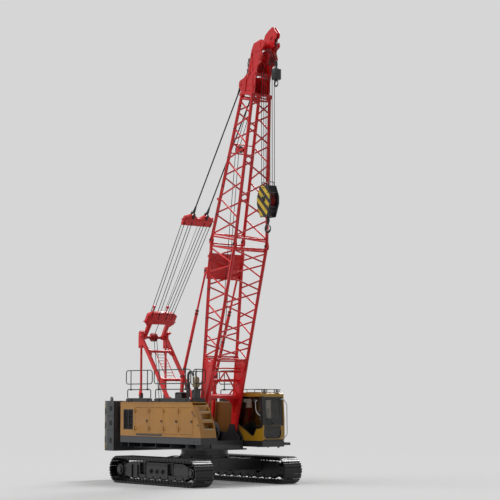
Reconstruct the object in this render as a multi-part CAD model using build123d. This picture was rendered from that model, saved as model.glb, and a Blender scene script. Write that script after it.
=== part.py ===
from build123d import *
import os
from math import atan2, cos, degrees, hypot, pi, radians, sin

# Crawler crane with a lattice boom, modelled at full size in millimetres.
# +X is forward, +Y is the driver's left, +Z is up. The origin lies on the ground on the slewing axis.

# ---- Undercarriage
TRACK_GAUGE = 3800          # centre of one track to centre of the other
TRACK_LENGTH = 5210
TRACK_HEIGHT = 944
SHOE_WIDTH = 760
SHOE_COUNT = 60
SHOE_THICK = 55
SHOE_GAP = 14
LINK_WIDTH = 200            # the chain under the shoes
LINK_HEIGHT = 110
FRAME_WIDTH = 330           # track side frame
FRAME_WALL = 40
FRAME_TOP = 760
FRAME_BOTTOM = 215
ROLLER_HEADROOM = 23        # from the bottom rollers to the roof of their channel
FRAME_WINDOWS = (-800, 850)
FRAME_WINDOW_HALF = 150
FRAME_WINDOW_DEPTH = 80
ROLLER_COUNT = 8
ROLLER_RADIUS = 100
ROLLER_WIDTH = 190
WHEEL_GAP = 2               # between the chain and what it runs on
YOKE_SLOT_DEPTH = 560       # slot at each end of the side frame, round a wheel
CARBODY_HALF = 1000
CARBODY_BOTTOM = 500
CARBODY_TOP = 900
AXLE_BEAM_WIDTH = 380
AXLE_BEAM_HEIGHT = 400
RING_OUTER_RADIUS = 820
RING_SPLIT_RADIUS = 690
RING_INNER_RADIUS = 560
RING_BOTTOM = 1000
RING_GAP = 10
TURN_GAP = 0.3              # between curved faces that turn past each other

# ---- Revolving frame
BED_BOTTOM = 1180
BED_PLATE = 50
DECK_BOTTOM = 1400
DECK_TOP = 1625
HOUSE_HALF_WIDTH = 1500
HOUSE_REAR = -3080
HOUSE_FRONT = 1800
HOUSE_TOP = 2830
NOSE_BULGE = (1615, 2250)   # a point on the curved nose of the right-hand house
ROOF_FRONT = 1230
BAY_HALF_WIDTH = 840        # open bay for winches, gantry and boom between the two houses
WEB_THICK = 45
WEB_TOP = 1800
WEB_REAR = -3530

# ---- Counterweight
CW_FRONT = WEB_REAR
CW_REAR = -4330
CW_LUG_X = -3950
CW_LUG_Y = 1310
LUG_BORE = 35
CW_LEVELS = (1060, 1810, 2320, 2870)

# ---- Boom
BOOM_ANGLE = 79.5
BOOM_FOOT_X = 780
BOOM_FOOT_Z = 1910
BOOM_LENGTH = 11600         # foot pin to the end of the lattice
BASE_LENGTH = 6500
BOOM_WIDTH = 1390           # between chord centres
BOOM_DEPTH = 1340
FOOT_DEPTH = 180
TIP_WIDTH = 750
TIP_DEPTH = 580
CHORD_RADIUS = 57
LACING_RADIUS = 28
LACING_STAGGER = 75         # between the nodes of neighbouring faces
LACING_INSET = 40           # from a node to each of the tubes that meet there
JOINT_BACK = 75             # from a section joint's pin back to the end of the tubes
JOINT_EYE = 60
JOINT_EAR = 25
JOINT_RADIUS = 65
JOINT_PIN_RADIUS = 25
FOOT_PIN_RADIUS = 60
FOOT_PIN_FIT = 0.08         # radial running clearance
FOOT_THICK = 90
CHEEK_GAP = 10
WEB_OUTER = BOOM_WIDTH / 2 - FOOT_THICK / 2 - CHEEK_GAP  # the webs stand just inside the boom's feet
WEB_INNER = WEB_OUTER - WEB_THICK
LEG_PLATE_END = 2350        # the lower legs are plated up to here

# ---- Boom head, in the boom's own axes
HEAD_HALF_WIDTH = 330
HEAD_PLATE = 30
HEAD_GAP = 12
ARM_HALF = 50
MAIN_SHEAVE_S = BOOM_LENGTH + 1300
MAIN_SHEAVE_N = -436
AUX_SHEAVE_S = BOOM_LENGTH + 2000
AUX_SHEAVE_N = -570
PENDANT_PIN_S = BOOM_LENGTH + 350
PENDANT_PIN_N = 470
PENDANT_LUG_GAP = 30        # from a pendant's centre to each of its lug plates
JIB_PIN_S = BOOM_LENGTH + 300
JIB_PIN_N = -220
JIB_PIN_BORE = 30
JIB_BOSS_RADIUS = 60

# ---- Sheaves and hooks
SHEAVE_RADIUS = 240
SHEAVE_ROOT = 215
SHEAVE_WIDTH = 60
SHEAVE_PITCH = 96
MAIN_SHEAVES = 3
AUX_SHEAVE_RADIUS = 205
AUX_SHEAVE_ROOT = 180
ROPE_RADIUS = 11
BLOCK_AXIS_Z = 9650
BLOCK_TOP = 10130
BLOCK_BOTTOM = 9050
AUX_BLOCK_TOP = 14180
AUX_BLOCK_BOTTOM = 13700
AUX_BLOCK_RADIUS = 165

# ---- Gantry
GANTRY_TOP_X = -3180
GANTRY_TOP_Z = 5200
GANTRY_FOOT_X = -720
GANTRY_FOOT_Z = 1980
GANTRY_HALF = WEB_INNER - 45
LEG_WIDTH = 80
LEG_DEPTH = 140
REAR_LEG_FOOT_Z = 3050
GANTRY_HEAD_DROP = 400      # from the head pin down to the end of the head boxes

# ---- Backstops
STOP_Y = WEB_OUTER + 75
STOP_FOOT_X = -330
STOP_FOOT_Z = 3730
STOP_HEAD_S = 5420
STOP_HEAD_N = 770
STOP_TUBE_RADIUS = 55
STOP_ROD_RADIUS = 36
STOP_TUBE_LENGTH = 2450
STOP_EYE = 50               # thickness of the rod's eye, between the boom's lugs

# ---- Cab
CAB_REAR = 600
CAB_FRONT = 2245
CAB_RIGHT = 820
CAB_LEFT = 1790
CAB_BOTTOM = 1500
CAB_TOP = 3150
CAB_WALL = 60
CAB_CORNER = 90
GLASS = 8


# ---------------------------------------------------------------- small helpers
def block(x0, x1, y0, y1, z0, z1):
    """A box between two corners."""
    return Pos((x0 + x1) / 2, (y0 + y1) / 2, (z0 + z1) / 2) * Box(x1 - x0, y1 - y0, z1 - z0)


def bar(start, end, radius):
    """A round bar from one point to another."""
    way = Vector(*end) - Vector(*start)
    return Solid.make_cylinder(radius, way.length, Plane(origin=start, z_dir=way))


def pin_y(x, z, radius, y0, y1):
    """A round pin across the machine."""
    return bar((x, y0, z), (x, y1, z), radius)


def side_plate(points, y0, y1):
    """A flat plate whose outline lies in the XZ plane."""
    face = Plane.XZ * make_face(Polyline(*points, close=True))
    return Pos(0, y1, 0) * extrude(face, y1 - y0)


def beam(start, end, depth, y0, y1):
    """A rectangular beam in the XZ plane, from one axis point to another."""
    (x0, z0), (x1, z1) = start, end
    reach = hypot(x1 - x0, z1 - z0)
    nx, nz = -(z1 - z0) / reach * depth / 2, (x1 - x0) / reach * depth / 2
    outline = [(x0 + nx, z0 + nz), (x1 + nx, z1 + nz), (x1 - nx, z1 - nz), (x0 - nx, z0 - nz)]
    return side_plate(outline, y0, y1)


def save(name, *shapes):
    """Write one sub-part, which may be several separate solids."""
    solids = [solid for shape in shapes for solid in shape.solids()]
    whole = solids[0] if len(solids) == 1 else Compound(children=solids)
    export_step(whole, f"parts/{name}.step")


# ---------------------------------------------------------------- undercarriage
END_RADIUS = TRACK_HEIGHT / 2
WHEEL_X = TRACK_LENGTH / 2 - END_RADIUS
WHEEL_Z = END_RADIUS
SHOE_BASE = END_RADIUS - SHOE_THICK
CHAIN_INNER = SHOE_BASE - LINK_HEIGHT
WHEEL_RADIUS = CHAIN_INNER - WHEEL_GAP
FRAME_CHANNEL_TOP = WHEEL_Z - WHEEL_RADIUS + 2 * ROLLER_RADIUS + ROLLER_HEADROOM


def loop_point(distance, radius):
    """A point on the track's loop, a distance along its base line and at a radius from the wheel axes."""
    straight, turn = 2 * WHEEL_X, pi * SHOE_BASE
    distance %= 2 * (straight + turn)
    if distance < straight:
        return (-WHEEL_X + distance, WHEEL_Z + radius)
    distance -= straight
    if distance < turn:
        angle = distance / SHOE_BASE
        return (WHEEL_X + radius * sin(angle), WHEEL_Z + radius * cos(angle))
    distance -= turn
    if distance < straight:
        return (WHEEL_X - distance, WHEEL_Z - radius)
    angle = (distance - straight) / SHOE_BASE
    return (-WHEEL_X - radius * sin(angle), WHEEL_Z - radius * cos(angle))


def track():
    """Shoes and chain of one track, on the machine's centre line."""
    pitch = 2 * (2 * WHEEL_X + pi * SHOE_BASE) / SHOE_COUNT
    outline = []
    for shoe in range(SHOE_COUNT):
        first, last = shoe * pitch + SHOE_GAP / 2, (shoe + 1) * pitch - SHOE_GAP / 2
        for distance, radius in ((first, SHOE_BASE + 12), (first, END_RADIUS), (last, END_RADIUS), (last, SHOE_BASE + 12)):
            outline.append(loop_point(distance, radius))
    half_shoe, half_link = SHOE_WIDTH / 2, LINK_WIDTH / 2
    centre = Pos(0, 0, WHEEL_Z)
    across = Plane.XZ * SlotCenterToCenter(2 * WHEEL_X, 2 * SHOE_BASE)
    hole = Plane.XZ * SlotCenterToCenter(2 * WHEEL_X, 2 * CHAIN_INNER)
    shoes = side_plate(outline, -half_shoe, half_shoe)
    shoes -= centre * Pos(0, half_shoe, 0) * extrude(across, SHOE_WIDTH)
    chain = centre * Pos(0, half_link, 0) * extrude(across, LINK_WIDTH)
    chain -= centre * Pos(0, half_link, 0) * extrude(hole, LINK_WIDTH)
    return shoes + chain


def track_frame():
    """Side frame with a yoke at each end and a channel below for the rollers."""
    half, slot = FRAME_WIDTH / 2, FRAME_WIDTH / 2 - FRAME_WALL
    nose = WHEEL_X - 150
    outline = [
        (-nose, FRAME_BOTTOM + 120), (-nose + 350, FRAME_BOTTOM), (nose - 350, FRAME_BOTTOM),
        (nose, FRAME_BOTTOM + 120), (nose, WHEEL_Z + 150), (nose - 420, FRAME_TOP),
        (-nose + 420, FRAME_TOP), (-nose, WHEEL_Z + 150),
    ]
    frame = side_plate(outline, -half, half)
    for end in (-1, 1):
        frame += pin_y(end * WHEEL_X, WHEEL_Z, 150, -half, half)
        neck = sorted((end * WHEEL_X, end * (WHEEL_X - 150)))
        frame += block(*neck, -half, half, WHEEL_Z - 150, WHEEL_Z + 150)
    for end in (-1, 1):
        inner, outer = sorted((end * (WHEEL_X - YOKE_SLOT_DEPTH + 150), end * (WHEEL_X + 400)))
        frame -= block(inner, outer, -slot, slot, 0, TRACK_HEIGHT)
    frame -= block(-WHEEL_X, WHEEL_X, -slot, slot, 0, FRAME_CHANNEL_TOP)
    for x in (-900, 0, 900):
        frame += block(x - 130, x + 130, -LINK_WIDTH / 2 + 10, LINK_WIDTH / 2 - 10,
                       FRAME_TOP, WHEEL_Z + CHAIN_INNER - WHEEL_GAP)
    for x in (-WHEEL_X, WHEEL_X):
        frame -= pin_y(x, WHEEL_Z, 50, -half, half)
    for x in FRAME_WINDOWS:
        for y0, y1 in ((-half, -half + FRAME_WINDOW_DEPTH), (half - FRAME_WINDOW_DEPTH, half)):
            frame -= block(x - FRAME_WINDOW_HALF, x + FRAME_WINDOW_HALF, y0, y1, FRAME_CHANNEL_TOP - 40, FRAME_TOP - 20)
    return frame


def track_wheel(teeth):
    """Idler or toothed sprocket with its axle, which seats in the frame's yoke."""
    half = LINK_WIDTH / 2 - 8
    wheel = pin_y(0, 0, WHEEL_RADIUS - (26 if teeth else 0), -half + 20, half - 20)
    if teeth:
        for tooth in range(teeth):
            angle = 360 / teeth * tooth
            wheel += Rot(0, angle, 0) * block(WHEEL_RADIUS - 60, WHEEL_RADIUS, -half + 40, half - 40, -28, 28)
    else:
        wheel -= pin_y(0, 0, WHEEL_RADIUS - 50, -half, -half + 50) - pin_y(0, 0, 110, -half, -half + 50)
        wheel -= pin_y(0, 0, WHEEL_RADIUS - 50, half - 50, half) - pin_y(0, 0, 110, half - 50, half)
    slot = FRAME_WIDTH / 2 - FRAME_WALL
    wheel += pin_y(0, 0, 90, -slot, slot)
    wheel += pin_y(0, 0, 50, -FRAME_WIDTH / 2, FRAME_WIDTH / 2)
    return Pos(0, 0, WHEEL_Z) * wheel


def rollers():
    """Bottom rollers, each on a pin between the side frame's skirts."""
    slot = FRAME_WIDTH / 2 - FRAME_WALL
    reach = WHEEL_X - YOKE_SLOT_DEPTH - 40
    axle_z = WHEEL_Z - CHAIN_INNER + WHEEL_GAP + ROLLER_RADIUS
    result = []
    for index in range(ROLLER_COUNT):
        x = -reach + 2 * reach * index / (ROLLER_COUNT - 1)
        roller = pin_y(x, axle_z, ROLLER_RADIUS, -ROLLER_WIDTH / 2, ROLLER_WIDTH / 2)
        roller += pin_y(x, axle_z, 35, -slot, slot)
        result.append(roller)
    return result


def carbody():
    """Welded centre box with two cross beams that carry the side frames."""
    reach = TRACK_GAUGE / 2 - FRAME_WIDTH / 2
    body = block(-CARBODY_HALF, CARBODY_HALF, -CARBODY_HALF, CARBODY_HALF, CARBODY_BOTTOM, CARBODY_TOP)
    body = chamfer(body.edges().filter_by(Axis.Z), 250)
    for side in (-1, 1):
        x = side * (CARBODY_HALF - AXLE_BEAM_WIDTH / 2)
        body += block(x - AXLE_BEAM_WIDTH / 2, x + AXLE_BEAM_WIDTH / 2, -reach, reach,
                      CARBODY_BOTTOM - 30, CARBODY_BOTTOM - 30 + AXLE_BEAM_HEIGHT)
    seat = Solid.make_cylinder(RING_OUTER_RADIUS + 40, RING_BOTTOM - CARBODY_TOP, Plane(origin=(0, 0, CARBODY_TOP)))
    body += seat
    return body - Solid.make_cylinder(RING_INNER_RADIUS - 60, 700, Plane(origin=(0, 0, CARBODY_BOTTOM + 60)))


def ring(outer, inner, z0, z1):
    tube = Solid.make_cylinder(outer, z1 - z0, Plane(origin=(0, 0, z0)))
    return tube - Solid.make_cylinder(inner, z1 - z0, Plane(origin=(0, 0, z0)))


# ---------------------------------------------------------------- revolving frame and houses
def revolving_frame():
    """Bed plate, two long webs with the boom's foot cheeks, side decks and the counterweight's seat."""
    bed = block(-1300, 1250, -900, 900, BED_BOTTOM, BED_BOTTOM + BED_PLATE)
    frame = bed
    foot_y = BOOM_WIDTH / 2
    inner_cheek = (WEB_INNER, WEB_OUTER)
    outer_cheek = (foot_y + FOOT_THICK / 2 + CHEEK_GAP, foot_y + FOOT_THICK / 2 + CHEEK_GAP + WEB_THICK)
    web = [
        (WEB_REAR, BED_BOTTOM), (1180, BED_BOTTOM), (1180, DECK_TOP), (BOOM_FOOT_X + 190, BOOM_FOOT_Z - 60),
        (BOOM_FOOT_X + 120, BOOM_FOOT_Z + 150), (BOOM_FOOT_X - 120, BOOM_FOOT_Z + 150),
        (BOOM_FOOT_X - 260, WEB_TOP), (GANTRY_FOOT_X + 150, WEB_TOP), (GANTRY_FOOT_X + 90, GANTRY_FOOT_Z + 110),
        (GANTRY_FOOT_X - 90, GANTRY_FOOT_Z + 110), (GANTRY_FOOT_X - 150, WEB_TOP), (-2700, WEB_TOP), (-2900, DECK_TOP), (WEB_REAR, DECK_TOP),
    ]
    cheek = [
        (300, BED_BOTTOM), (1180, BED_BOTTOM), (1180, DECK_TOP), (BOOM_FOOT_X + 190, BOOM_FOOT_Z - 60),
        (BOOM_FOOT_X + 120, BOOM_FOOT_Z + 150), (BOOM_FOOT_X - 120, BOOM_FOOT_Z + 150),
        (BOOM_FOOT_X - 260, WEB_TOP), (300, WEB_TOP - 200),
    ]
    rear, front = GANTRY_TOP_X - 60, GANTRY_TOP_X + 60
    post = [(rear, DECK_TOP - 50), (front, DECK_TOP - 50), (front, REAR_LEG_FOOT_Z + 90), (rear, REAR_LEG_FOOT_Z + 90)]
    for side in (-1, 1):
        frame += side_plate(web, *sorted((side * inner_cheek[0], side * inner_cheek[1])))
        frame += side_plate(cheek, *sorted((side * outer_cheek[0], side * outer_cheek[1])))
        frame += side_plate(post, *sorted((side * (GANTRY_HALF - 60), side * (GANTRY_HALF + 50))))
        frame += pin_y(BOOM_FOOT_X, BOOM_FOOT_Z, FOOT_PIN_RADIUS, *sorted((side * inner_cheek[0], side * outer_cheek[1])))
    frame += block(HOUSE_REAR, HOUSE_FRONT, -HOUSE_HALF_WIDTH, -outer_cheek[1], DECK_BOTTOM, DECK_TOP)
    frame += block(HOUSE_REAR, 500, outer_cheek[1], HOUSE_HALF_WIDTH, DECK_BOTTOM, DECK_TOP)
    for x in (WEB_REAR, -1300):
        frame += block(x, x + 80, -HOUSE_HALF_WIDTH + 300, HOUSE_HALF_WIDTH - 300, BED_BOTTOM + 40, DECK_BOTTOM + 100)
    frame += block(1100, 1180, -HOUSE_HALF_WIDTH + 300, outer_cheek[1], BED_BOTTOM + 40, DECK_BOTTOM + 100)
    return frame


def counterweight(level):
    """One cast slab, its rear corners slanted in plan. The top one has two lifting eyes."""
    z0, z1 = CW_LEVELS[level], CW_LEVELS[level + 1]
    edge = HOUSE_HALF_WIDTH
    outline = [
        (CW_FRONT, -edge), (CW_FRONT - 420, -edge), (CW_REAR + 90, -edge + 80), (CW_REAR, -edge + 350),
        (CW_REAR, edge - 350), (CW_REAR + 90, edge - 80), (CW_FRONT - 420, edge), (CW_FRONT, edge),
    ]
    slab = extrude(Plane.XY.offset(z0) * make_face(Polyline(*outline, close=True)), z1 - z0)
    if level < len(CW_LEVELS) - 2:
        return slab
    for side in (-1, 1):
        y0, y1 = side * CW_LUG_Y - 20, side * CW_LUG_Y + 20
        slab += block(CW_LUG_X - 80, CW_LUG_X + 80, y0, y1, z1, z1 + 70) + pin_y(CW_LUG_X, z1 + 70, 80, y0, y1)
        slab -= pin_y(CW_LUG_X, z1 + 80, LUG_BORE, y0, y1)
    return slab


DOOR_COUNT = 4
DOOR_PITCH = 890
DOOR_FIRST = -2140          # rear edge of the first door's opening
DOOR_WIDTH = 800
DOOR_BOTTOM = 1720
DOOR_TOP = 2640
LATCH_Z = 2170
DOOR_GAP = 8
PANEL = 40
HINGE_OUT = 22              # hinge pin's distance outside the wall
HINGE_RADIUS = 10
BARREL_RADIUS = 17
HINGE_HEIGHTS = (1900, 2520)
HINGE_LENGTH = 90
GRILLE = (-2890, -2270, 1850, 2570)
STEP_BACK = DOOR_FIRST - 70 + DOOR_PITCH * DOOR_COUNT       # the last bulkhead, where the steps begin
STEP_INNER = 880
STEP_OUTER = 1300
STEP_TABLE = [
    # tread height, back of the foot hole
    (1910, 1440),
    (2220, 1400),
]
STEP_HOLE = 220


def right_side():
    """The right-hand side's whole outer form, which ends in a curved nose."""
    nose = ThreePointArc((HOUSE_FRONT, DECK_TOP), NOSE_BULGE, (ROOF_FRONT, HOUSE_TOP))
    rest = Polyline((ROOF_FRONT, HOUSE_TOP), (HOUSE_REAR, HOUSE_TOP), (HOUSE_REAR, DECK_TOP), (HOUSE_FRONT, DECK_TOP))
    face = Plane.XZ * make_face([nose, *rest.edges()])
    return Pos(0, -BAY_HALF_WIDTH, 0) * extrude(face, HOUSE_HALF_WIDTH - BAY_HALF_WIDTH)


def engine_house():
    """Right-hand engine house: side wall, roof and bulkheads, open where doors and grille go."""
    y0, y1 = -HOUSE_HALF_WIDTH, -BAY_HALF_WIDTH
    shell = right_side() & block(HOUSE_REAR, STEP_BACK, y0, y1, DECK_TOP, HOUSE_TOP)
    bays = [HOUSE_REAR + PANEL, *(DOOR_FIRST - 70 + DOOR_PITCH * i for i in range(DOOR_COUNT + 1))]
    for rear, front in zip(bays, bays[1:]):
        shell -= block(rear, front - PANEL, y0 + PANEL, y1 - PANEL, DECK_TOP, HOUSE_TOP - PANEL)
    for index in range(DOOR_COUNT):
        rear = DOOR_FIRST + DOOR_PITCH * index
        shell -= block(rear, rear + DOOR_WIDTH, y0, y0 + PANEL, DOOR_BOTTOM, DOOR_TOP)
        for z in HINGE_HEIGHTS:
            shell += hinge_bracket(rear, z)
    x0, x1, z0, z1 = GRILLE
    return shell - block(x0, x1, y0, y0 + PANEL, z0, z1)


def hinge_bracket(rear, z):
    """Pin on two small ears that carries a door's barrel."""
    axis_y = -HOUSE_HALF_WIDTH - HINGE_OUT
    ears = bar((rear - 15, axis_y, z - HINGE_LENGTH / 2 - 22), (rear - 15, axis_y, z + HINGE_LENGTH / 2 + 22), HINGE_RADIUS)
    for z0 in (z - HINGE_LENGTH / 2 - 22, z + HINGE_LENGTH / 2 + 2):
        ears += block(rear - 33, rear + 3, axis_y - 15, -HOUSE_HALF_WIDTH + 5, z0, z0 + 20)
    return ears


def house_door(index):
    """Side door on two barrels, with its round latch."""
    rear = DOOR_FIRST + DOOR_PITCH * index
    y0, axis_y = -HOUSE_HALF_WIDTH, -HOUSE_HALF_WIDTH - HINGE_OUT
    door = block(rear + DOOR_GAP, rear + DOOR_WIDTH - DOOR_GAP, y0, y0 + PANEL, DOOR_BOTTOM + DOOR_GAP, DOOR_TOP - DOOR_GAP)
    latch = rear + DOOR_WIDTH - 60
    door += bar((latch, y0, LATCH_Z), (latch, y0 - 18, LATCH_Z), 45)
    for z in HINGE_HEIGHTS:
        z0, z1 = z - HINGE_LENGTH / 2, z + HINGE_LENGTH / 2
        door += bar((rear - 15, axis_y, z0), (rear - 15, axis_y, z1), BARREL_RADIUS)
        door += block(rear - 15, rear + 90, y0 - 10, y0, z0, z1)
        door += block(rear - 15, rear + 5, axis_y - 8, y0, z0, z1)
        door -= bar((rear - 15, axis_y, z0), (rear - 15, axis_y, z1), HINGE_RADIUS + FOOT_PIN_FIT)
    return door


def side_grille():
    """Louvre panel: slanted slats in a frame with a centre bar."""
    x0, x1, z0, z1 = GRILLE
    y0 = -HOUSE_HALF_WIDTH
    panel = block(x0, x1, y0, y0 + PANEL, z0, z1) - block(x0 + 25, x1 - 25, y0, y0 + PANEL, z0 + 25, z1 - 25)
    middle = (x0 + x1) / 2
    panel += block(middle - 12, middle + 12, y0, y0 + PANEL, z0, z1)
    slats = 14
    for index in range(slats):
        z = z0 + 25 + (z1 - z0 - 50) * (index + 0.5) / slats
        slat = Pos((x0 + x1) / 2, y0 + PANEL / 2, z) * Rot(-35, 0, 0) * Box(x1 - x0 - 30, 44, 6)
        panel += slat & block(x0, x1, y0, y0 + PANEL, z0, z1)
    return panel


def left_house():
    """Closed housing behind the cab."""
    return block(HOUSE_REAR, 480, BAY_HALF_WIDTH, HOUSE_HALF_WIDTH, DECK_TOP, HOUSE_TOP)


def engine():
    """Engine in the second and third compartments, hydraulic tank in the last."""
    y0, y1 = -HOUSE_HALF_WIDTH + 110, -BAY_HALF_WIDTH - PANEL - 40
    return block(DOOR_FIRST + 60, DOOR_FIRST + 700, y0, y1, DECK_TOP, 2450)


def step_unit():
    """Access steps in the nose: foot holes open to the front, and a landing at the top."""
    y0, y1 = -HOUSE_HALF_WIDTH, -BAY_HALF_WIDTH
    unit = right_side() & block(STEP_BACK, HOUSE_FRONT, y0, y1, DECK_TOP, HOUSE_TOP)
    for tread, back in STEP_TABLE:
        unit -= block(back, HOUSE_FRONT, -STEP_OUTER, -STEP_INNER, tread, tread + STEP_HOLE)
    return unit - block(STEP_BACK, HOUSE_FRONT, -STEP_OUTER, -STEP_INNER, 2500, HOUSE_TOP)


def roof_gear():
    """Air box, intake with its round pre-cleaner, and the bent exhaust pipe."""
    air_box = block(-60, 340, -1250, -1000, HOUSE_TOP, HOUSE_TOP + 345)
    air_box = chamfer(air_box.edges().filter_by(Axis.X).group_by(Axis.Z)[-1], 60)
    intake = block(900, 1140, -1225, -1025, HOUSE_TOP, HOUSE_TOP + 410)
    bowl = [(0, 3240), (60, 3240), (60, 3330), (95, 3350), (110, 3400), (110, 3610), (80, 3690), (0, 3690)]
    intake += Pos(1010, -1125, 0) * revolve(Plane.XZ * make_face(Polyline(*bowl, close=True)), Axis.Z)
    up = Line((520, -1100, HOUSE_TOP), (520, -1100, 3730))
    over = ThreePointArc((520, -1100, 3730), (665, -1100, 3875), (810, -1100, 3730))
    exhaust = sweep(Plane(origin=up @ 0, z_dir=up % 0) * Circle(42), Wire([*up.edges(), *over.edges()]))
    return [air_box, intake, exhaust]


# ---------------------------------------------------------------- winches
DRUM_TABLE = [
    # name, x, z, flange radius, barrel radius
    ("hoist_drum_front", -120, 1800, 330, 210),
    ("hoist_drum_rear", -1500, 1800, 330, 210),
    ("luffing_drum", -2350, 1750, 280, 180),
]
DRUM_SHAFT = 60
DRUM_HALF = WEB_INNER - 75


def drum(x, z, flange, barrel):
    """Winch drum with two flanges, on a shaft that runs in the webs."""
    body = pin_y(x, z, barrel, -DRUM_HALF, DRUM_HALF)
    for y in (-DRUM_HALF, DRUM_HALF - 25):
        body += pin_y(x, z, flange, y, y + 25)
    return body + pin_y(x, z, DRUM_SHAFT, -WEB_OUTER + 10, WEB_OUTER - 10)


# ---------------------------------------------------------------- gantry and bridle
def gantry():
    """Front frame of the A-frame: two raked legs, cross tubes and the head with its pin."""
    frame = None
    foot, top = (GANTRY_FOOT_X, GANTRY_FOOT_Z), (GANTRY_TOP_X, GANTRY_TOP_Z)
    for side in (-1, 1):
        y0, y1 = sorted((side * (GANTRY_HALF - LEG_WIDTH / 2), side * (GANTRY_HALF + LEG_WIDTH / 2)))
        leg = beam(foot, top, LEG_DEPTH, y0, y1)
        leg += block(GANTRY_TOP_X - 110, GANTRY_TOP_X + 110, y0 - 10, y1 + 10,
                     GANTRY_TOP_Z - GANTRY_HEAD_DROP, GANTRY_TOP_Z + 75)
        frame = leg if frame is None else frame + leg
    for share in (0.512, 0.835):
        x = foot[0] + (top[0] - foot[0]) * share
        z = foot[1] + (top[1] - foot[1]) * share
        frame += pin_y(x, z, 50, -GANTRY_HALF, GANTRY_HALF)
    frame += pin_y(GANTRY_TOP_X, GANTRY_TOP_Z, 45, -GANTRY_HALF, GANTRY_HALF)
    return frame


def gantry_rear_legs():
    """Two upright tension legs from the gantry's head to the frame's posts."""
    legs = []
    for side in (-1, 1):
        y0, y1 = sorted((side * (GANTRY_HALF - 35), side * (GANTRY_HALF + 25)))
        legs.append(block(GANTRY_TOP_X - 35, GANTRY_TOP_X + 35, y0, y1, REAR_LEG_FOOT_Z + 90, GANTRY_TOP_Z - GANTRY_HEAD_DROP))
    return legs


# The luffing bridle lies on one line from the gantry's head to the boom's pendant pins.
def boom_point(s, n):
    """A point given along the boom and square to it, in the machine's XZ plane."""
    angle = radians(BOOM_ANGLE)
    return (BOOM_FOOT_X + s * cos(angle) - n * sin(angle), BOOM_FOOT_Z + s * sin(angle) + n * cos(angle))


PENDANT_X, PENDANT_Z = boom_point(PENDANT_PIN_S, PENDANT_PIN_N)
BRIDLE_ANGLE = degrees(atan2(PENDANT_Z - GANTRY_TOP_Z, PENDANT_X - GANTRY_TOP_X))
BRIDLE_LENGTH = hypot(PENDANT_Z - GANTRY_TOP_Z, PENDANT_X - GANTRY_TOP_X)
BRIDLE = Location((GANTRY_TOP_X, 0, GANTRY_TOP_Z), (0, -BRIDLE_ANGLE, 0))
EQUALIZER_FOOT = GANTRY_HALF - LEG_WIDTH / 2 - 60     # its feet pass between the gantry's legs
LOWER_HALF = EQUALIZER_FOOT + 190
UPPER_HALF = 640
UPPER_AT = 4870             # upper equaliser's distance from the gantry's head
PENDANT_Y = 300
PENDANT_RADIUS = 22
BRIDLE_SHEAVE = 150
BRIDLE_PIN = 45.08


def lower_equalizer():
    """Sheave block that hangs on the gantry's head pin by two feet."""
    foot = EQUALIZER_FOOT
    outline = [(-70, -foot), (-70, -foot + 90), (560, -foot + 120), (620, -foot + 150), (620, foot - 150), (560, foot - 120),
               (-70, foot - 90), (-70, foot), (480, foot + 20), (620, LOWER_HALF), (980, LOWER_HALF), (1070, foot + 30),
               (1100, 0), (1070, -foot - 30), (980, -LOWER_HALF), (620, -LOWER_HALF), (480, -foot - 20)]
    face = make_face(Polyline(*outline, close=True))
    body = Pos(0, 0, -60) * extrude(face, 120)
    body -= pin_y(0, 0, BRIDLE_PIN, -LOWER_HALF, LOWER_HALF)
    return BRIDLE * body


def upper_equalizer():
    """Beam with sheaves below and the pendants' sockets above."""
    outline = [(0, -UPPER_HALF), (0, UPPER_HALF), (300, UPPER_HALF), (420, PENDANT_Y + 90), (420, PENDANT_Y - 90),
               (300, 60), (300, -60), (420, -PENDANT_Y + 90), (420, -PENDANT_Y - 90), (300, -UPPER_HALF)]
    face = make_face(Polyline(*outline, close=True))
    return BRIDLE * Pos(UPPER_AT - 150, 0, -60) * extrude(face, 120)


def pendants():
    """Two boom pendants from the upper equaliser to the boom head, each with its eye and pin between two lugs."""
    result = []
    for side in (-1, 1):
        y = side * PENDANT_Y
        stay = bar((UPPER_AT + 270, y, 0), (BRIDLE_LENGTH - 60, y, 0), PENDANT_RADIUS)
        stay += pin_y(BRIDLE_LENGTH, 0, 80, y - 22, y + 22)
        reach = PENDANT_LUG_GAP - TURN_GAP
        stay += pin_y(BRIDLE_LENGTH, 0, 35, y - reach, y + reach)
        result.append(BRIDLE * stay)
    return result


# ---------------------------------------------------------------- boom
BOOM = Location((BOOM_FOOT_X, 0, BOOM_FOOT_Z), (0, -BOOM_ANGLE, 0))
BASE_NODES = (2450, 3300, 4340, 5350, 6270)
TIP_START = BASE_LENGTH + 180
TIP_END = BOOM_LENGTH - 190
TIP_STEPS = (0, 133, 264, 377, 473)     # the bays grow shorter toward the head
TIP_NODES = [TIP_START + (TIP_END - TIP_START) * step / TIP_STEPS[-1] for step in TIP_STEPS]


def boom_size(s):
    """Width and depth between chord centres, at a distance along the boom."""
    if s <= BASE_LENGTH:
        return BOOM_WIDTH, FOOT_DEPTH + (BOOM_DEPTH - FOOT_DEPTH) * s / BASE_LENGTH
    share = (s - BASE_LENGTH) / (BOOM_LENGTH - BASE_LENGTH)
    return BOOM_WIDTH + (TIP_WIDTH - BOOM_WIDTH) * share, BOOM_DEPTH + (TIP_DEPTH - BOOM_DEPTH) * share


def chord_point(s, side, face):
    """Centre of one chord in the machine's frame. side is +1 for left, face +1 for the rear."""
    width, depth = boom_size(s)
    x, z = boom_point(s, face * depth / 2)
    return (x, side * width / 2, z)


CORNERS = [(-1, 1), (-1, -1), (1, -1), (1, 1)]


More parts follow.
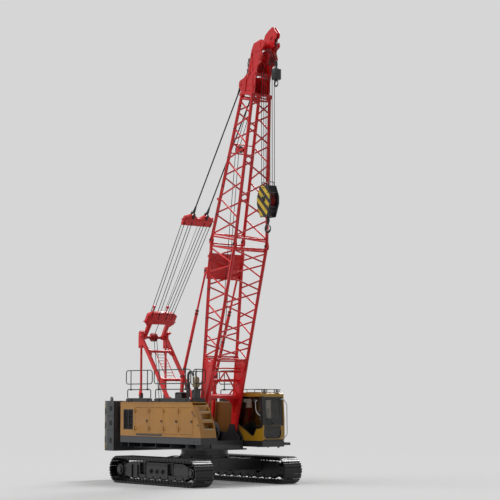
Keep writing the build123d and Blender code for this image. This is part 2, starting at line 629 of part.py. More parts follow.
def lattice(start, end, nodes):
    """Four chords with zigzag lacing on the four faces and a square frame at each end."""
    parts = [bar(chord_point(start, *corner), chord_point(end, *corner), CHORD_RADIUS) for corner in CORNERS]
    for index, corner in enumerate(CORNERS):
        other = CORNERS[(index + 1) % 4]
        levels = [node + (LACING_STAGGER if index % 2 else 0) for node in nodes]
        runs = [(levels[0] - LACING_INSET, levels[0] - LACING_INSET), (levels[-1] + LACING_INSET, levels[-1] + LACING_INSET)]
        for low, high in zip(levels, levels[1:]):
            middle = (low + high) / 2
            runs.append((low + LACING_INSET, middle - LACING_INSET))
            runs.append((high - LACING_INSET, middle + LACING_INSET))
        for here, there in runs:
            parts.append(bar(chord_point(here, *corner), chord_point(there, *other), LACING_RADIUS))
    return parts[0].fuse(*parts[1:])


def joint_centre(side, face):
    """Where a chord crosses the joint between the sections: its Y and its distance from the boom's axis."""
    width, depth = boom_size(BASE_LENGTH)
    return side * width / 2, face * depth / 2


def joint_lug(way, n, y0, y1):
    """One ear or eye of a section joint, which reaches back along the boom from its pin."""
    s0, s1 = sorted((BASE_LENGTH, BASE_LENGTH + way * (JOINT_BACK + 45)))
    return block(s0, s1, y0, y1, n - JOINT_RADIUS + 5, n + JOINT_RADIUS - 5) + pin_y(BASE_LENGTH, n, JOINT_RADIUS, y0, y1)


def boom_base():
    """Lower section: two plated legs with the foot eyes, then lattice."""
    section = block(1100, 1180, -BOOM_WIDTH / 2, BOOM_WIDTH / 2, -150, 150)
    for side in (-1, 1):
        y = side * BOOM_WIDTH / 2
        y0, y1 = y - FOOT_THICK / 2, y + FOOT_THICK / 2
        depth = boom_size(LEG_PLATE_END)[1] / 2 + 40
        outline = [(0, -130), (LEG_PLATE_END, -depth), (LEG_PLATE_END, depth), (0, 130)]
        leg = side_plate(outline, y0, y1) + pin_y(0, 0, 140, y0, y1)
        leg -= pin_y(0, 0, FOOT_PIN_RADIUS + FOOT_PIN_FIT, y0, y1)
        section += leg
    section += bar((1700, -BOOM_WIDTH / 2, 0), (1700, BOOM_WIDTH / 2, 0), 50)
    section += block(5150, 6050, -STOP_Y - 60, STOP_Y + 60, 600, 625)
    for side in (-1, 1):
        for y in (STOP_Y - STOP_EYE / 2 - TURN_GAP - 15, STOP_Y + STOP_EYE / 2 + TURN_GAP):
            y0, y1 = sorted((side * y, side * (y + 15)))
            section += side_plate([(5280, 600), (5560, 600), (5520, STOP_HEAD_N + 50), (5320, STOP_HEAD_N + 50)], y0, y1)
    for side, face in CORNERS:
        y, n = joint_centre(side, face)
        for y0 in (y - JOINT_EYE / 2 - JOINT_EAR, y + JOINT_EYE / 2):
            section += joint_lug(-1, n, y0, y0 + JOINT_EAR)
        section += pin_y(BASE_LENGTH, n, JOINT_PIN_RADIUS, y - JOINT_EYE / 2, y + JOINT_EYE / 2)
    chords = lattice(LEG_PLATE_END - 250, BASE_LENGTH - JOINT_BACK, BASE_NODES)
    return chords + BOOM * section


def boom_tip():
    """Upper section: lattice that tapers both ways, pinned to the lower one at four eyes."""
    section = lattice(BASE_LENGTH + JOINT_BACK, BOOM_LENGTH - HEAD_GAP, TIP_NODES)
    for side, face in CORNERS:
        y, n = joint_centre(side, face)
        eye = joint_lug(1, n, y - JOINT_EYE / 2 + TURN_GAP, y + JOINT_EYE / 2 - TURN_GAP)
        eye -= pin_y(BASE_LENGTH, n, JOINT_PIN_RADIUS + FOOT_PIN_FIT, y - JOINT_EYE, y + JOINT_EYE)
        section += BOOM * eye
    for side, face in CORNERS:
        width, depth = boom_size(BOOM_LENGTH)
        y, n = side * width / 2, face * depth / 2
        section += BOOM * block(BOOM_LENGTH - 60, BOOM_LENGTH, y - 70, y + 70, n - 70, n + 70)
    return section


def past_lattice(*outline):
    """An outline measured from the end of the lattice, as places along the boom."""
    return [(BOOM_LENGTH + s, n) for s, n in outline]


def boom_head():
    """Two cheek plates that carry the sheaves, with the auxiliary arm in front and the pendant lugs behind."""
    cheek = past_lattice((20, -330), (470, -300), (830, -315), (1020, -330), (1120, -480), (1230, -540), (1380, -540),
                         (1500, -470), (1590, -470), (1750, -620), (1870, -570), (1910, -345), (1760, 25), (1510, 110),
                         (990, 150), (710, 190), (620, 330), (20, 330))
    arm = past_lattice((1650, -330), (1730, -215), (1910, -185), (2080, -235), (2220, -380), (2360, -560), (2350, -640),
                       (2150, -860), (2010, -860), (1940, -765), (1700, -800), (1640, -650))
    lug = past_lattice((40, 180), (650, 180), (470, PENDANT_PIN_N + 60), (410, PENDANT_PIN_N + 95),
                       (290, PENDANT_PIN_N + 95), (230, PENDANT_PIN_N + 60), (40, 330))
    cross_tubes = [
        # s, n, radius
        (BOOM_LENGTH + 750, 80, 60),
        (BOOM_LENGTH + 750, -180, 60),
        (BOOM_LENGTH + 1780, -300, 50),
        (BOOM_LENGTH + 1730, -520, 40),
        (MAIN_SHEAVE_S, MAIN_SHEAVE_N, 50),
    ]
    half = HEAD_HALF_WIDTH
    head = block(BOOM_LENGTH, BOOM_LENGTH + 80, -TIP_WIDTH / 2 - 60, TIP_WIDTH / 2 + 60, -TIP_DEPTH / 2 - 50, TIP_DEPTH / 2 + 50)
    for side in (-1, 1):
        head += side_plate(cheek, *sorted((side * half, side * (half - HEAD_PLATE))))
        head += side_plate(arm, *sorted((side * ARM_HALF, side * (ARM_HALF + 25))))
        head += pin_y(JIB_PIN_S, JIB_PIN_N, JIB_BOSS_RADIUS, *sorted((side * half, side * (half + 30))))
        for y in (PENDANT_Y - PENDANT_LUG_GAP - 25, PENDANT_Y + PENDANT_LUG_GAP):
            head += side_plate(lug, *sorted((side * y, side * (y + 25))))
    for s, n, radius in cross_tubes:
        head += pin_y(s, n, radius, -half, half)
    head += pin_y(AUX_SHEAVE_S, AUX_SHEAVE_N, 35, -ARM_HALF, ARM_HALF)
    head -= pin_y(JIB_PIN_S, JIB_PIN_N, JIB_PIN_BORE, -half - 30, half + 30)
    return BOOM * head


def sheave(radius, root, bore):
    """Grooved wheel on the Y axis."""
    half = SHEAVE_WIDTH / 2
    profile = [(bore, -half), (radius, -half), (radius, -half + 8), (root, -16), (root, 16),
               (radius, half - 8), (radius, half), (bore, half)]
    face = make_face(Polyline(*[(r, y) for r, y in profile], close=True))
    return revolve(face, Axis.Y)


def head_sheaves():
    wheels = []
    for index in range(MAIN_SHEAVES):
        y = (index - (MAIN_SHEAVES - 1) / 2) * SHEAVE_PITCH
        wheels.append(BOOM * Pos(MAIN_SHEAVE_S, y, MAIN_SHEAVE_N) * sheave(SHEAVE_RADIUS, SHEAVE_ROOT, 50.08))
    return wheels


def aux_sheave():
    return BOOM * Pos(AUX_SHEAVE_S, 0, AUX_SHEAVE_N) * sheave(AUX_SHEAVE_RADIUS, AUX_SHEAVE_ROOT, 35.08)


# ---------------------------------------------------------------- backstops
STOP_HEAD_X, STOP_HEAD_Z = boom_point(STOP_HEAD_S, STOP_HEAD_N)
STOP_ANGLE = degrees(atan2(STOP_HEAD_Z - STOP_FOOT_Z, STOP_HEAD_X - STOP_FOOT_X))
STOP_LENGTH = hypot(STOP_HEAD_Z - STOP_FOOT_Z, STOP_HEAD_X - STOP_FOOT_X)
STOP = Location((STOP_FOOT_X, 0, STOP_FOOT_Z), (0, -STOP_ANGLE, 0))


def backstop_tube(side):
    y = side * STOP_Y
    tube = bar((220, y, 0), (STOP_TUBE_LENGTH, y, 0), STOP_TUBE_RADIUS)
    tube += block(0, 230, y - 20, y + 20, -50, 50)
    tube -= bar((300, y, 0), (STOP_TUBE_LENGTH, y, 0), STOP_ROD_RADIUS + FOOT_PIN_FIT)
    tube += pin_y(0, 0, 75, y - 20, y + 20)
    tube -= pin_y(0, 0, 30.08, y - 20, y + 20)
    return STOP * tube


def backstop_rod(side):
    y = side * STOP_Y
    rod = bar((420, y, 0), (STOP_LENGTH - 260, y, 0), STOP_ROD_RADIUS)
    rod += block(STOP_LENGTH - 280, STOP_LENGTH, y - STOP_EYE / 2, y + STOP_EYE / 2, -30, 30)
    rod += pin_y(STOP_LENGTH, 0, 55, y - STOP_EYE / 2, y + STOP_EYE / 2)
    return STOP * rod


def backstop_posts():
    """Raked posts on the frame that carry the backstops' feet."""
    posts = []
    for side in (-1, 1):
        y = side * STOP_Y
        post = beam((-560, DECK_TOP), (STOP_FOOT_X - 20, STOP_FOOT_Z - 110), 110, y - 45, y + 45)
        post += block(-660, -460, *sorted((side * WEB_OUTER, y + side * 45)), DECK_BOTTOM, DECK_TOP + 60)
        for y0 in (y - 45, y + 25):
            post += side_plate([(STOP_FOOT_X - 80, STOP_FOOT_Z - 160), (STOP_FOOT_X + 60, STOP_FOOT_Z - 160),
                                (STOP_FOOT_X + 60, STOP_FOOT_Z + 60), (STOP_FOOT_X - 60, STOP_FOOT_Z + 60)], y0, y0 + 20)
        post += pin_y(STOP_FOOT_X, STOP_FOOT_Z, 30, y - 45, y + 45)
        posts.append(post)
    return posts


# ---------------------------------------------------------------- hooks
MAIN_X, MAIN_Z = boom_point(MAIN_SHEAVE_S, MAIN_SHEAVE_N)
AUX_X, AUX_Z = boom_point(AUX_SHEAVE_S, AUX_SHEAVE_N)
FALL_OUT = SHEAVE_ROOT + ROPE_RADIUS + TURN_GAP
AUX_FALL_X = AUX_X + AUX_SHEAVE_ROOT + ROPE_RADIUS + TURN_GAP


def main_falls():
    falls = []
    for index in range(MAIN_SHEAVES):
        y = (index - (MAIN_SHEAVES - 1) / 2) * SHEAVE_PITCH
        for out in (-FALL_OUT, FALL_OUT):
            falls.append(bar((MAIN_X + out, y, BLOCK_AXIS_Z), (MAIN_X + out, y, MAIN_Z), ROPE_RADIUS))
    return falls


def main_hook_block():
    """Two cheek plates and a trunnion, with three sheaves between."""
    half = MAIN_SHEAVES * SHEAVE_PITCH / 2 + 20
    cheek = [(-200, BLOCK_TOP), (200, BLOCK_TOP), (360, BLOCK_AXIS_Z + 100), (360, BLOCK_AXIS_Z - 150),
             (180, BLOCK_BOTTOM), (-180, BLOCK_BOTTOM), (-360, BLOCK_AXIS_Z - 150), (-360, BLOCK_AXIS_Z + 100)]
    block_body = None
    for side in (-1, 1):
        plate = Pos(MAIN_X, 0, 0) * side_plate(cheek, *sorted((side * half, side * (half + 35))))
        block_body = plate if block_body is None else block_body + plate
    block_body += pin_y(MAIN_X, BLOCK_AXIS_Z, 50, -half, half)
    block_body += block(MAIN_X - 90, MAIN_X + 90, -half, half, BLOCK_BOTTOM + 20, BLOCK_BOTTOM + 160)
    block_body -= bar((MAIN_X, 0, BLOCK_BOTTOM), (MAIN_X, 0, BLOCK_BOTTOM + 200), 45.08)
    return block_body


def block_sheaves():
    wheels = []
    for index in range(MAIN_SHEAVES):
        y = (index - (MAIN_SHEAVES - 1) / 2) * SHEAVE_PITCH
        wheels.append(Pos(MAIN_X, y, BLOCK_AXIS_Z) * sheave(SHEAVE_RADIUS, SHEAVE_ROOT, 50.08))
    return wheels


def hook(scale):
    """Plain hook below its shank, in the XZ plane, with its saddle at the origin's level."""
    r_in, r_out = 75 * scale, 150 * scale
    ring_part = pin_y(0, 0, r_out, -40 * scale, 40 * scale) - pin_y(0, 0, r_in, -40 * scale, 40 * scale)
    ring_part -= block(0, r_out, -40 * scale, 40 * scale, 20 * scale, r_out)
    return ring_part


def main_hook():
    z = 8680
    body = Pos(MAIN_X, 0, z) * hook(1.15)
    body += bar((MAIN_X, 0, z + 130), (MAIN_X, 0, BLOCK_BOTTOM + 215), 45)
    return body + bar((MAIN_X, 0, BLOCK_BOTTOM + 160.3), (MAIN_X, 0, BLOCK_BOTTOM + 215), 75)


def aux_falls():
    return bar((AUX_FALL_X, 0, AUX_BLOCK_TOP), (AUX_FALL_X, 0, AUX_Z), ROPE_RADIUS)


def aux_hook_block():
    """Round overhaul weight with a swivel below."""
    radius, top, bottom = AUX_BLOCK_RADIUS, AUX_BLOCK_TOP, AUX_BLOCK_BOTTOM
    profile = [(0, top), (35, top), (45, top - 90), (radius - 20, top - 110), (radius, top - 130),
               (radius, bottom + 30), (radius - 20, bottom), (0, bottom)]
    face = Plane.XZ * make_face(Polyline(*profile, close=True))
    weight = Pos(AUX_FALL_X, 0, 0) * revolve(face, Axis.Z)
    return weight - bar((AUX_FALL_X, 0, AUX_BLOCK_BOTTOM), (AUX_FALL_X, 0, AUX_BLOCK_BOTTOM + 80), 30.08)


def aux_hook():
    z = 13570
    body = Pos(AUX_FALL_X, 0, z) * hook(0.8)
    return body + bar((AUX_FALL_X, 0, z + 90), (AUX_FALL_X, 0, AUX_BLOCK_BOTTOM + 79.7), 30)


# ---------------------------------------------------------------- cab
DOOR_X0, DOOR_X1 = 760, 1640
CAB_DOOR_Z0, CAB_DOOR_Z1 = 1580, 3040
CAB_SILL = 2200             # the front leans back above this height
CAB_LEAN = 60
SCREEN_Y, SCREEN_Z = (890, 1710), (2070, 2960)
LOW_Y, LOW_Z = (890, 1620), (1590, 2010)
REAR_Y, REAR_Z = (970, 1640), (2250, 2950)


def cab_body(inset):
    """The cab's solid form, taken in by an inset all round: upright below the sill and leaning back above it."""
    x0, x1, z0, z1 = CAB_REAR + inset, CAB_FRONT - inset, CAB_BOTTOM + inset, CAB_TOP - inset
    outline = [(x0, z0), (x1, z0), (x1, CAB_SILL), (x1 - CAB_LEAN, z1), (x0, z1)]
    path = FilletPolyline(*outline, radius=CAB_CORNER - inset, close=True)
    face = Plane.XZ * make_face(path.edges())
    return Pos(0, CAB_LEFT - inset, 0) * extrude(face, CAB_LEFT - CAB_RIGHT - 2 * inset)


def right_window(y0, y1):
    """The tall side window, whose lower edge runs down to a point by the driver's feet."""
    outline = [(720, 3020), (2110, 3020), (2150, 2200), (2130, 1930), (1880, 1910), (1740, 1680), (1620, 1680),
               (1250, 1880), (720, 2140)]
    return side_plate(outline, y0, y1)


def cab_shell():
    """Hollow cab with its window and door openings."""
    w = CAB_WALL
    shell = cab_body(0) - cab_body(w)
    shell -= block(DOOR_X0, DOOR_X1, CAB_LEFT - w, CAB_LEFT, CAB_DOOR_Z0, CAB_DOOR_Z1)
    shell -= right_window(CAB_RIGHT, CAB_RIGHT + w)
    shell -= block(CAB_FRONT - CAB_LEAN - w, CAB_FRONT, *SCREEN_Y, *SCREEN_Z)
    shell -= low_window(CAB_FRONT - w, CAB_FRONT)
    shell -= block(CAB_REAR, CAB_REAR + w, *REAR_Y, *REAR_Z)
    return shell


def low_window(x0, x1):
    """The pane below the windscreen, round at its bottom corners."""
    (y0, y1), (z0, z1) = LOW_Y, LOW_Z
    corner = 150
    pane = block(x0, x1, y0, y1, z0 + corner, z1) + block(x0, x1, y0 + corner, y1 - corner, z0, z1)
    for y in (y0 + corner, y1 - corner):
        pane += bar((x0, y, z0 + corner), (x1, y, z0 + corner), corner)
    return pane


def cab_windows():
    """Side, front, lower front and rear panes, each seated in its opening."""
    side = right_window(CAB_RIGHT + 20, CAB_RIGHT + 20 + GLASS)
    x0, x1 = CAB_FRONT - 20 - GLASS, CAB_FRONT - 20
    screen = side_plate([(x0, CAB_SILL), (x1, CAB_SILL), (x1 - CAB_LEAN, CAB_TOP), (x0 - CAB_LEAN, CAB_TOP)], *SCREEN_Y)
    screen += block(x0, x1, *SCREEN_Y, SCREEN_Z[0], CAB_SILL)
    screen &= block(CAB_REAR, CAB_FRONT, *SCREEN_Y, *SCREEN_Z)
    rear = block(CAB_REAR + 26, CAB_REAR + 26 + GLASS, *REAR_Y, *REAR_Z)
    return [side, screen, low_window(x0, x1), rear]


CAB_HINGE_Y = CAB_LEFT + 22
CAB_HINGES = (1800, 2800)
WALKWAY_WIDTH = 270


def cab_hinges():
    """Door hinge pins with their ears, on the cab's rear pillar."""
    ears = None
    for z in CAB_HINGES:
        pin = bar((DOOR_X0 - 15, CAB_HINGE_Y, z - 70), (DOOR_X0 - 15, CAB_HINGE_Y, z + 70), HINGE_RADIUS)
        for z0 in (z - 70, z + 50):
            pin += block(DOOR_X0 - 33, DOOR_X0 + 3, CAB_LEFT - 5, CAB_HINGE_Y + 15, z0, z0 + 20)
        ears = pin if ears is None else ears + pin
    return ears


def cab_door():
    """Door frame round its window, with two hinge barrels and a handle."""
    g = DOOR_GAP
    door = block(DOOR_X0 + g, DOOR_X1 - g, CAB_LEFT - CAB_WALL + 5, CAB_LEFT, CAB_DOOR_Z0 + g, CAB_DOOR_Z1 - g)
    door -= block(DOOR_X0 + 90, DOOR_X1 - 90, CAB_LEFT - CAB_WALL, CAB_LEFT, 2200, CAB_DOOR_Z1 - 90)
    for z in CAB_HINGES:
        door += bar((DOOR_X0 - 15, CAB_HINGE_Y, z - 45), (DOOR_X0 - 15, CAB_HINGE_Y, z + 45), BARREL_RADIUS)
        door += block(DOOR_X0 - 15, DOOR_X0 + 70, CAB_LEFT, CAB_LEFT + 10, z - 45, z + 45)
        door += block(DOOR_X0 - 15, DOOR_X0 + 5, CAB_LEFT, CAB_HINGE_Y + 8, z - 45, z + 45)
        door -= bar((DOOR_X0 - 15, CAB_HINGE_Y, z - 45), (DOOR_X0 - 15, CAB_HINGE_Y, z + 45), HINGE_RADIUS + FOOT_PIN_FIT)
    door += block(DOOR_X1 - 80, DOOR_X1 - 40, CAB_LEFT, CAB_LEFT + 40, 2080, 2180)
    return door


def cab_door_glass():
    return block(DOOR_X0 + 90, DOOR_X1 - 90, CAB_LEFT - 35, CAB_LEFT - 35 + GLASS, 2200, CAB_DOOR_Z1 - 90)


def cab_platform():
    """Platform under the cab, bolted to the revolving frame's left cheek, with a walkway along the door side."""
    base = block(500, CAB_FRONT - 20, CAB_RIGHT, CAB_LEFT, 1290, CAB_BOTTOM)
    walkway = block(650, CAB_FRONT, CAB_LEFT, CAB_LEFT + WALKWAY_WIDTH, 1340, 1380)
    return base + walkway


def operator_seat():
    middle = (CAB_RIGHT + CAB_LEFT) / 2
    x = 1150
    floor = CAB_BOTTOM + CAB_WALL
    seat = block(x - 220, x + 220, middle - 200, middle + 200, floor, floor + 350)
    seat += block(x - 260, x + 240, middle - 240, middle + 240, floor + 350, floor + 470)
    return seat + block(x - 330, x - 230, middle - 230, middle + 230, floor + 400, floor + 1100)


# ---------------------------------------------------------------- guard rails
RAIL_RADIUS = 17
RAIL_Y = 1440
RAIL_TOP = 3950
RAIL_MIDDLE = 3470          # bottom of the upper loop
KNEE_TOP = 3270             # top of the lower loop
TOE_TOP = 2950
TOE_THICK = 10
POST_PITCH = 1100           # widest spacing of the posts
RAIL_PANELS = [
    # start x, y, end x, y
    (-2810, -RAIL_Y, -1170, -RAIL_Y),
    (-1050, -RAIL_Y, 1130, -RAIL_Y),
    (1190, -RAIL_Y + 60, 1190, -BAY_HALF_WIDTH - 20),
    (-2810, RAIL_Y, -1170, RAIL_Y),
    (-1050, RAIL_Y, 400, RAIL_Y),
]


def rail_loop(start, end, inset, z0, z1, corner):
    """Closed loop of round tube with rounded corners, in the upright plane through two points."""
    run = Vector(*end) - Vector(*start)
    middle = (Vector(*start) + Vector(*end)) * 0.5 + Vector(0, 0, (z0 + z1) / 2)
    plane = Plane(origin=middle, x_dir=run, z_dir=run.cross(Vector(0, 0, 1)))
    path = (plane * RectangleRounded(run.length - 2 * inset, z1 - z0, corner)).face().outer_wire()
    return sweep(Plane(origin=path @ 0, z_dir=path % 0) * Circle(RAIL_RADIUS), path)


def toe_board(start, end):
    """Upright strip on the roof, which carries its panel's lower loop."""
    run = Vector(*end) - Vector(*start)
    middle = (Vector(*start) + Vector(*end)) * 0.5 + Vector(0, 0, (HOUSE_TOP + TOE_TOP) / 2)
    plane = Plane(origin=middle, x_dir=run, z_dir=Vector(0, 0, 1))
    return plane * Box(run.length, TOE_THICK, TOE_TOP - HOUSE_TOP)


def guardrails():
    """Tube panels round the roofs: an upper loop on posts, a lower loop and a toe board."""
    panels = []
    for x0, y0, x1, y1 in RAIL_PANELS:
        start, end = (x0, y0, 0), (x1, y1, 0)
        panel = rail_loop(start, end, 0, RAIL_MIDDLE, RAIL_TOP, 110)
        panel += rail_loop(start, end, 90, TOE_TOP, KNEE_TOP, 60)
        panel += toe_board(start, end)
        run = Vector(*end) - Vector(*start)
        inset = min(300, run.length / 4)
        bays = max(1, round((run.length - 2 * inset) / POST_PITCH))
        for post in range(bays + 1):
            foot = Vector(*start) + run.normalized() * (inset + (run.length - 2 * inset) * post / bays)
            panel += bar((foot.X, foot.Y, KNEE_TOP), (foot.X, foot.Y, RAIL_TOP), RAIL_RADIUS)
        panels.append(panel)
    return panels


# ---------------------------------------------------------------- build
def main():
    os.makedirs("parts", exist_ok=True)
    side_shift = {"left": Pos(0, TRACK_GAUGE / 2, 0), "right": Pos(0, -TRACK_GAUGE / 2, 0)}
    belt, side_frame, bogies = track(), track_frame(), rollers()
    sprocket, idler = Pos(-WHEEL_X, 0, 0) * track_wheel(13), Pos(WHEEL_X, 0, 0) * track_wheel(0)
    for side, shift in side_shift.items():
        save(f"track_{side}", shift * belt)
        save(f"track_frame_{side}", shift * side_frame)
        save(f"track_wheels_{side}", *[shift * wheel for wheel in (sprocket, idler, *bogies)])
    save("carbody", carbody())
    save("slew_ring_outer", ring(RING_OUTER_RADIUS, RING_SPLIT_RADIUS, RING_BOTTOM, BED_BOTTOM - RING_GAP))
    save("slew_ring_inner", ring(RING_SPLIT_RADIUS - TURN_GAP, RING_INNER_RADIUS, RING_BOTTOM + RING_GAP, BED_BOTTOM))

    frame = revolving_frame()
    for _, x, z, _, _ in DRUM_TABLE:
        frame -= pin_y(x, z, DRUM_SHAFT + FOOT_PIN_FIT, -WEB_OUTER - 1, WEB_OUTER + 1)
    save("revolving_frame", frame)
    for level, name in enumerate(("lower", "middle", "upper")):
        save(f"counterweight_{name}", counterweight(level))
    save("engine_house", engine_house())
    for index in range(DOOR_COUNT):
        save(f"house_door_{index + 1}", house_door(index))
    save("side_grille", side_grille())
    save("left_house", left_house())
    save("engine", engine())
    save("step_unit", step_unit())
    save("roof_gear", *roof_gear())
    for name, x, z, flange, barrel in DRUM_TABLE:
        save(name, drum(x, z, flange, barrel))
    save("guardrails", *guardrails())

    save("gantry", gantry())
    save("gantry_rear_legs", *gantry_rear_legs())
    save("lower_equalizer", lower_equalizer())
    save("upper_equalizer", upper_equalizer())
    save("pendants", *pendants())

    save("boom_base_section", boom_base())
    save("boom_tip_section", boom_tip())
    save("boom_head", boom_head())
    save("head_sheaves", *head_sheaves())
    save("aux_sheave", aux_sheave())
    save("backstop_posts", *backstop_posts())
    for side, name in ((-1, "right"), (1, "left")):
        save(f"backstop_tube_{name}", backstop_tube(side))
        save(f"backstop_rod_{name}", backstop_rod(side))

    save("main_falls", *main_falls())
    save("main_hook_block", main_hook_block())
    save("main_block_sheaves", *block_sheaves())
    save("main_hook", main_hook())
    save("aux_falls", aux_falls())
    save("aux_hook_block", aux_hook_block())
    save("aux_hook", aux_hook())

    save("cab_platform", cab_platform())
    save("cab_shell", cab_shell() + cab_hinges())
    save("cab_windows", *cab_windows())
    save("cab_door", cab_door())
    save("cab_door_glass", cab_door_glass())
    save("operator_seat", operator_seat())


main()
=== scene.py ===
from math import atan2, cos, pi, radians, sin

import bmesh
import bpy
from mathutils import Matrix, Vector


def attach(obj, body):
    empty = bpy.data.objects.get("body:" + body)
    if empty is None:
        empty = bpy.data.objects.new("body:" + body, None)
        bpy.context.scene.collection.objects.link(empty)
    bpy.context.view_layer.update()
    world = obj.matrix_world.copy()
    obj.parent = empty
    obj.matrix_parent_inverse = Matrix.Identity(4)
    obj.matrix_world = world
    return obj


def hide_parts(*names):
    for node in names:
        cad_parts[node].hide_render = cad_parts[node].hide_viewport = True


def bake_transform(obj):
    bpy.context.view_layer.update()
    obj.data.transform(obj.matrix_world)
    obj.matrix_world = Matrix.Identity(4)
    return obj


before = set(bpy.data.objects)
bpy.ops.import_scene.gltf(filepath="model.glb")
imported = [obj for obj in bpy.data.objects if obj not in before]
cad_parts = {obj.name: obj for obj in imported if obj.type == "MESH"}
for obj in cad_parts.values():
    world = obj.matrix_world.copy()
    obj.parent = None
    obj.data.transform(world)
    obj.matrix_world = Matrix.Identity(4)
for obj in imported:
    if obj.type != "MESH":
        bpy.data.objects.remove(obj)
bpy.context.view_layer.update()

# ---------------------------------------------------------------- camera, floor and studio light
# The crane stands on a plain pale studio floor. A long lens looks at it slightly upward from the
# right-hand front, and the light is one broad soft key from that side over an even fill.
VIEW_ANGLE = radians(51.74)     # from looking straight along +Y, turned to the left
VIEW_RISE = radians(5.43)
FOCAL_MM = 112.43
EYE = (44.374, -32.965, 2.9555)
STUDIO_GREY = 0.672             # how bright the floor and the backdrop look
FLOOR_RADIUS = 300.0
FLOOR_PAINT = 0.42
FLOOR_GLOW = 0.14
FILL = 0.27
KEY = 1.9
KEY_FROM = (-0.35, -1.0, 1.15)
KEY_SOFTNESS = radians(50)
RIM = 2.4
RIM_FROM = (-0.2, 0.62, 0.75)    # from above and behind, on the far side of the camera
RIM_SOFTNESS = radians(20)

scene = bpy.context.scene
scene.view_settings.view_transform = "Standard"

lens = bpy.data.cameras.new("camera")
lens.lens = FOCAL_MM
lens.sensor_width = 36.0
lens.clip_end = 1000.0
camera = bpy.data.objects.new("camera", lens)
camera.location = EYE
camera.rotation_euler = (pi / 2 + VIEW_RISE, 0, VIEW_ANGLE)
scene.collection.objects.link(camera)
scene.camera = camera


def put(tree, kind, values=None, **settings):
    """Adds a node. Each value is a number, a colour, another node or one of its output sockets."""
    node = tree.nodes.new(kind if "Node" in kind else "ShaderNode" + kind)
    for key, value in settings.items():
        setattr(node, key, value)
    for key, value in (values or {}).items():
        if isinstance(value, bpy.types.Node):
            value = value.outputs[0]
        if isinstance(value, bpy.types.NodeSocket):
            tree.links.new(value, node.inputs[key])
        else:
            node.inputs[key].default_value = value
    return node


def math(tree, operation, a, b=0.0, clamp=False):
    """One arithmetic node."""
    return put(tree, "Math", {0: a, 1: b}, operation=operation, use_clamp=clamp).outputs[0]


def blank_material(name):
    """A material with only its output node."""
    material = bpy.data.materials.new(name)
    material.use_nodes = True
    tree = material.node_tree
    tree.nodes.clear()
    return material, tree, put(tree, "OutputMaterial")


def ranged(tree, value, low, high, out_low=0.0, out_high=1.0, **settings):
    """A value carried from one range to another."""
    return put(tree, "MapRange", {0: value, 1: low, 2: high, 3: out_low, 4: out_high}, **settings).outputs[0]


def object_place(tree):
    """Where a point lies on the piece."""
    return put(tree, "TexCoord").outputs["Object"]


def seen_directly(tree):
    """1 for rays that show a surface itself or its mirror image, 0 for rays that only light things."""
    rays = put(tree, "LightPath").outputs
    either = math(tree, "MAXIMUM", rays["Is Camera Ray"], rays["Is Glossy Ray"])
    return math(tree, "MAXIMUM", either, rays["Is Transmission Ray"])


world = bpy.data.worlds.new("studio")
world.use_nodes = True
scene.world = world
sky = world.node_tree
sky.nodes.clear()
strength = ranged(sky, seen_directly(sky), 0.0, 1.0, FILL / STUDIO_GREY, 1.0)
backdrop = put(sky, "Background", {"Color": (STUDIO_GREY,) * 3 + (1,), "Strength": strength})
put(sky, "OutputWorld", {"Surface": backdrop})

studio, floor_tree, floor_out = blank_material("studio_floor")
floor_paint = put(floor_tree, "BsdfDiffuse", {"Color": (FLOOR_PAINT,) * 3 + (1,)})
floor_seen = math(floor_tree, "MULTIPLY", seen_directly(floor_tree), FLOOR_GLOW)
floor_glow = put(floor_tree, "Emission", {"Color": (1, 1, 1, 1), "Strength": floor_seen})
near_floor = put(floor_tree, "AddShader", {0: floor_paint, 1: floor_glow})
far_seen = math(floor_tree, "MULTIPLY", seen_directly(floor_tree), STUDIO_GREY)
far_floor = put(floor_tree, "Emission", {"Color": (1, 1, 1, 1), "Strength": far_seen})
place = object_place(floor_tree)
distance = put(floor_tree, "VectorMath", {0: place}, operation="LENGTH").outputs["Value"]
fade = ranged(floor_tree, distance, 16.0, 45.0, interpolation_type="SMOOTHSTEP")
mixed = put(floor_tree, "MixShader", {0: fade, 1: near_floor, 2: far_floor})
floor_tree.links.new(mixed.outputs[0], floor_out.inputs["Surface"])

floor_mesh = bpy.data.meshes.new("floor")
floor_bm = bmesh.new()
bmesh.ops.create_circle(floor_bm, cap_ends=True, segments=64, radius=FLOOR_RADIUS)
floor_bm.to_mesh(floor_mesh)
floor_mesh.materials.append(studio)
floor = bpy.data.objects.new("floor", floor_mesh)
scene.collection.objects.link(floor)

for lamp_name, strength, softness, direction in (("key", KEY, KEY_SOFTNESS, KEY_FROM),
        ("rim", RIM, RIM_SOFTNESS, RIM_FROM)):
    light = bpy.data.lights.new(lamp_name, "SUN")
    light.energy = strength
    light.angle = softness
    lamp = bpy.data.objects.new(lamp_name, light)
    lamp.rotation_euler = Vector(direction).to_track_quat("Z", "Y").to_euler()
    scene.collection.objects.link(lamp)


# ---------------------------------------------------------------- track shoes and chains
# Each track is sixty cast steel shoes, pinned end to end into a loop. A shoe is a flat plate with two
# low bars across its outer face, and inside it has a pair of links and a drive lug for the sprocket.
TRACK_MIDDLE = 1.9              # from the machine's middle to a track's
LOOP_HEIGHT = 0.472             # wheel axle above the ground
LOOP_REACH = 2.133              # wheel axle from the middle of the machine
LOOP_RADIUS = 0.417             # from a wheel's axle to the inner face of the shoes
SHOES = 60
SIDES = (("left", 1), ("right", -1))
SHOE_PITCH = 2 * (2 * LOOP_REACH + pi * LOOP_RADIUS) / SHOES
SHOE_HALF = 0.379
SMOOTH_BELOW = radians(38)      # edges flatter than this are shaded smooth
ROUND_ABOVE = radians(40)       # and edges sharper than this are rounded
DUST = (0.23, 0.19, 0.15, 1)


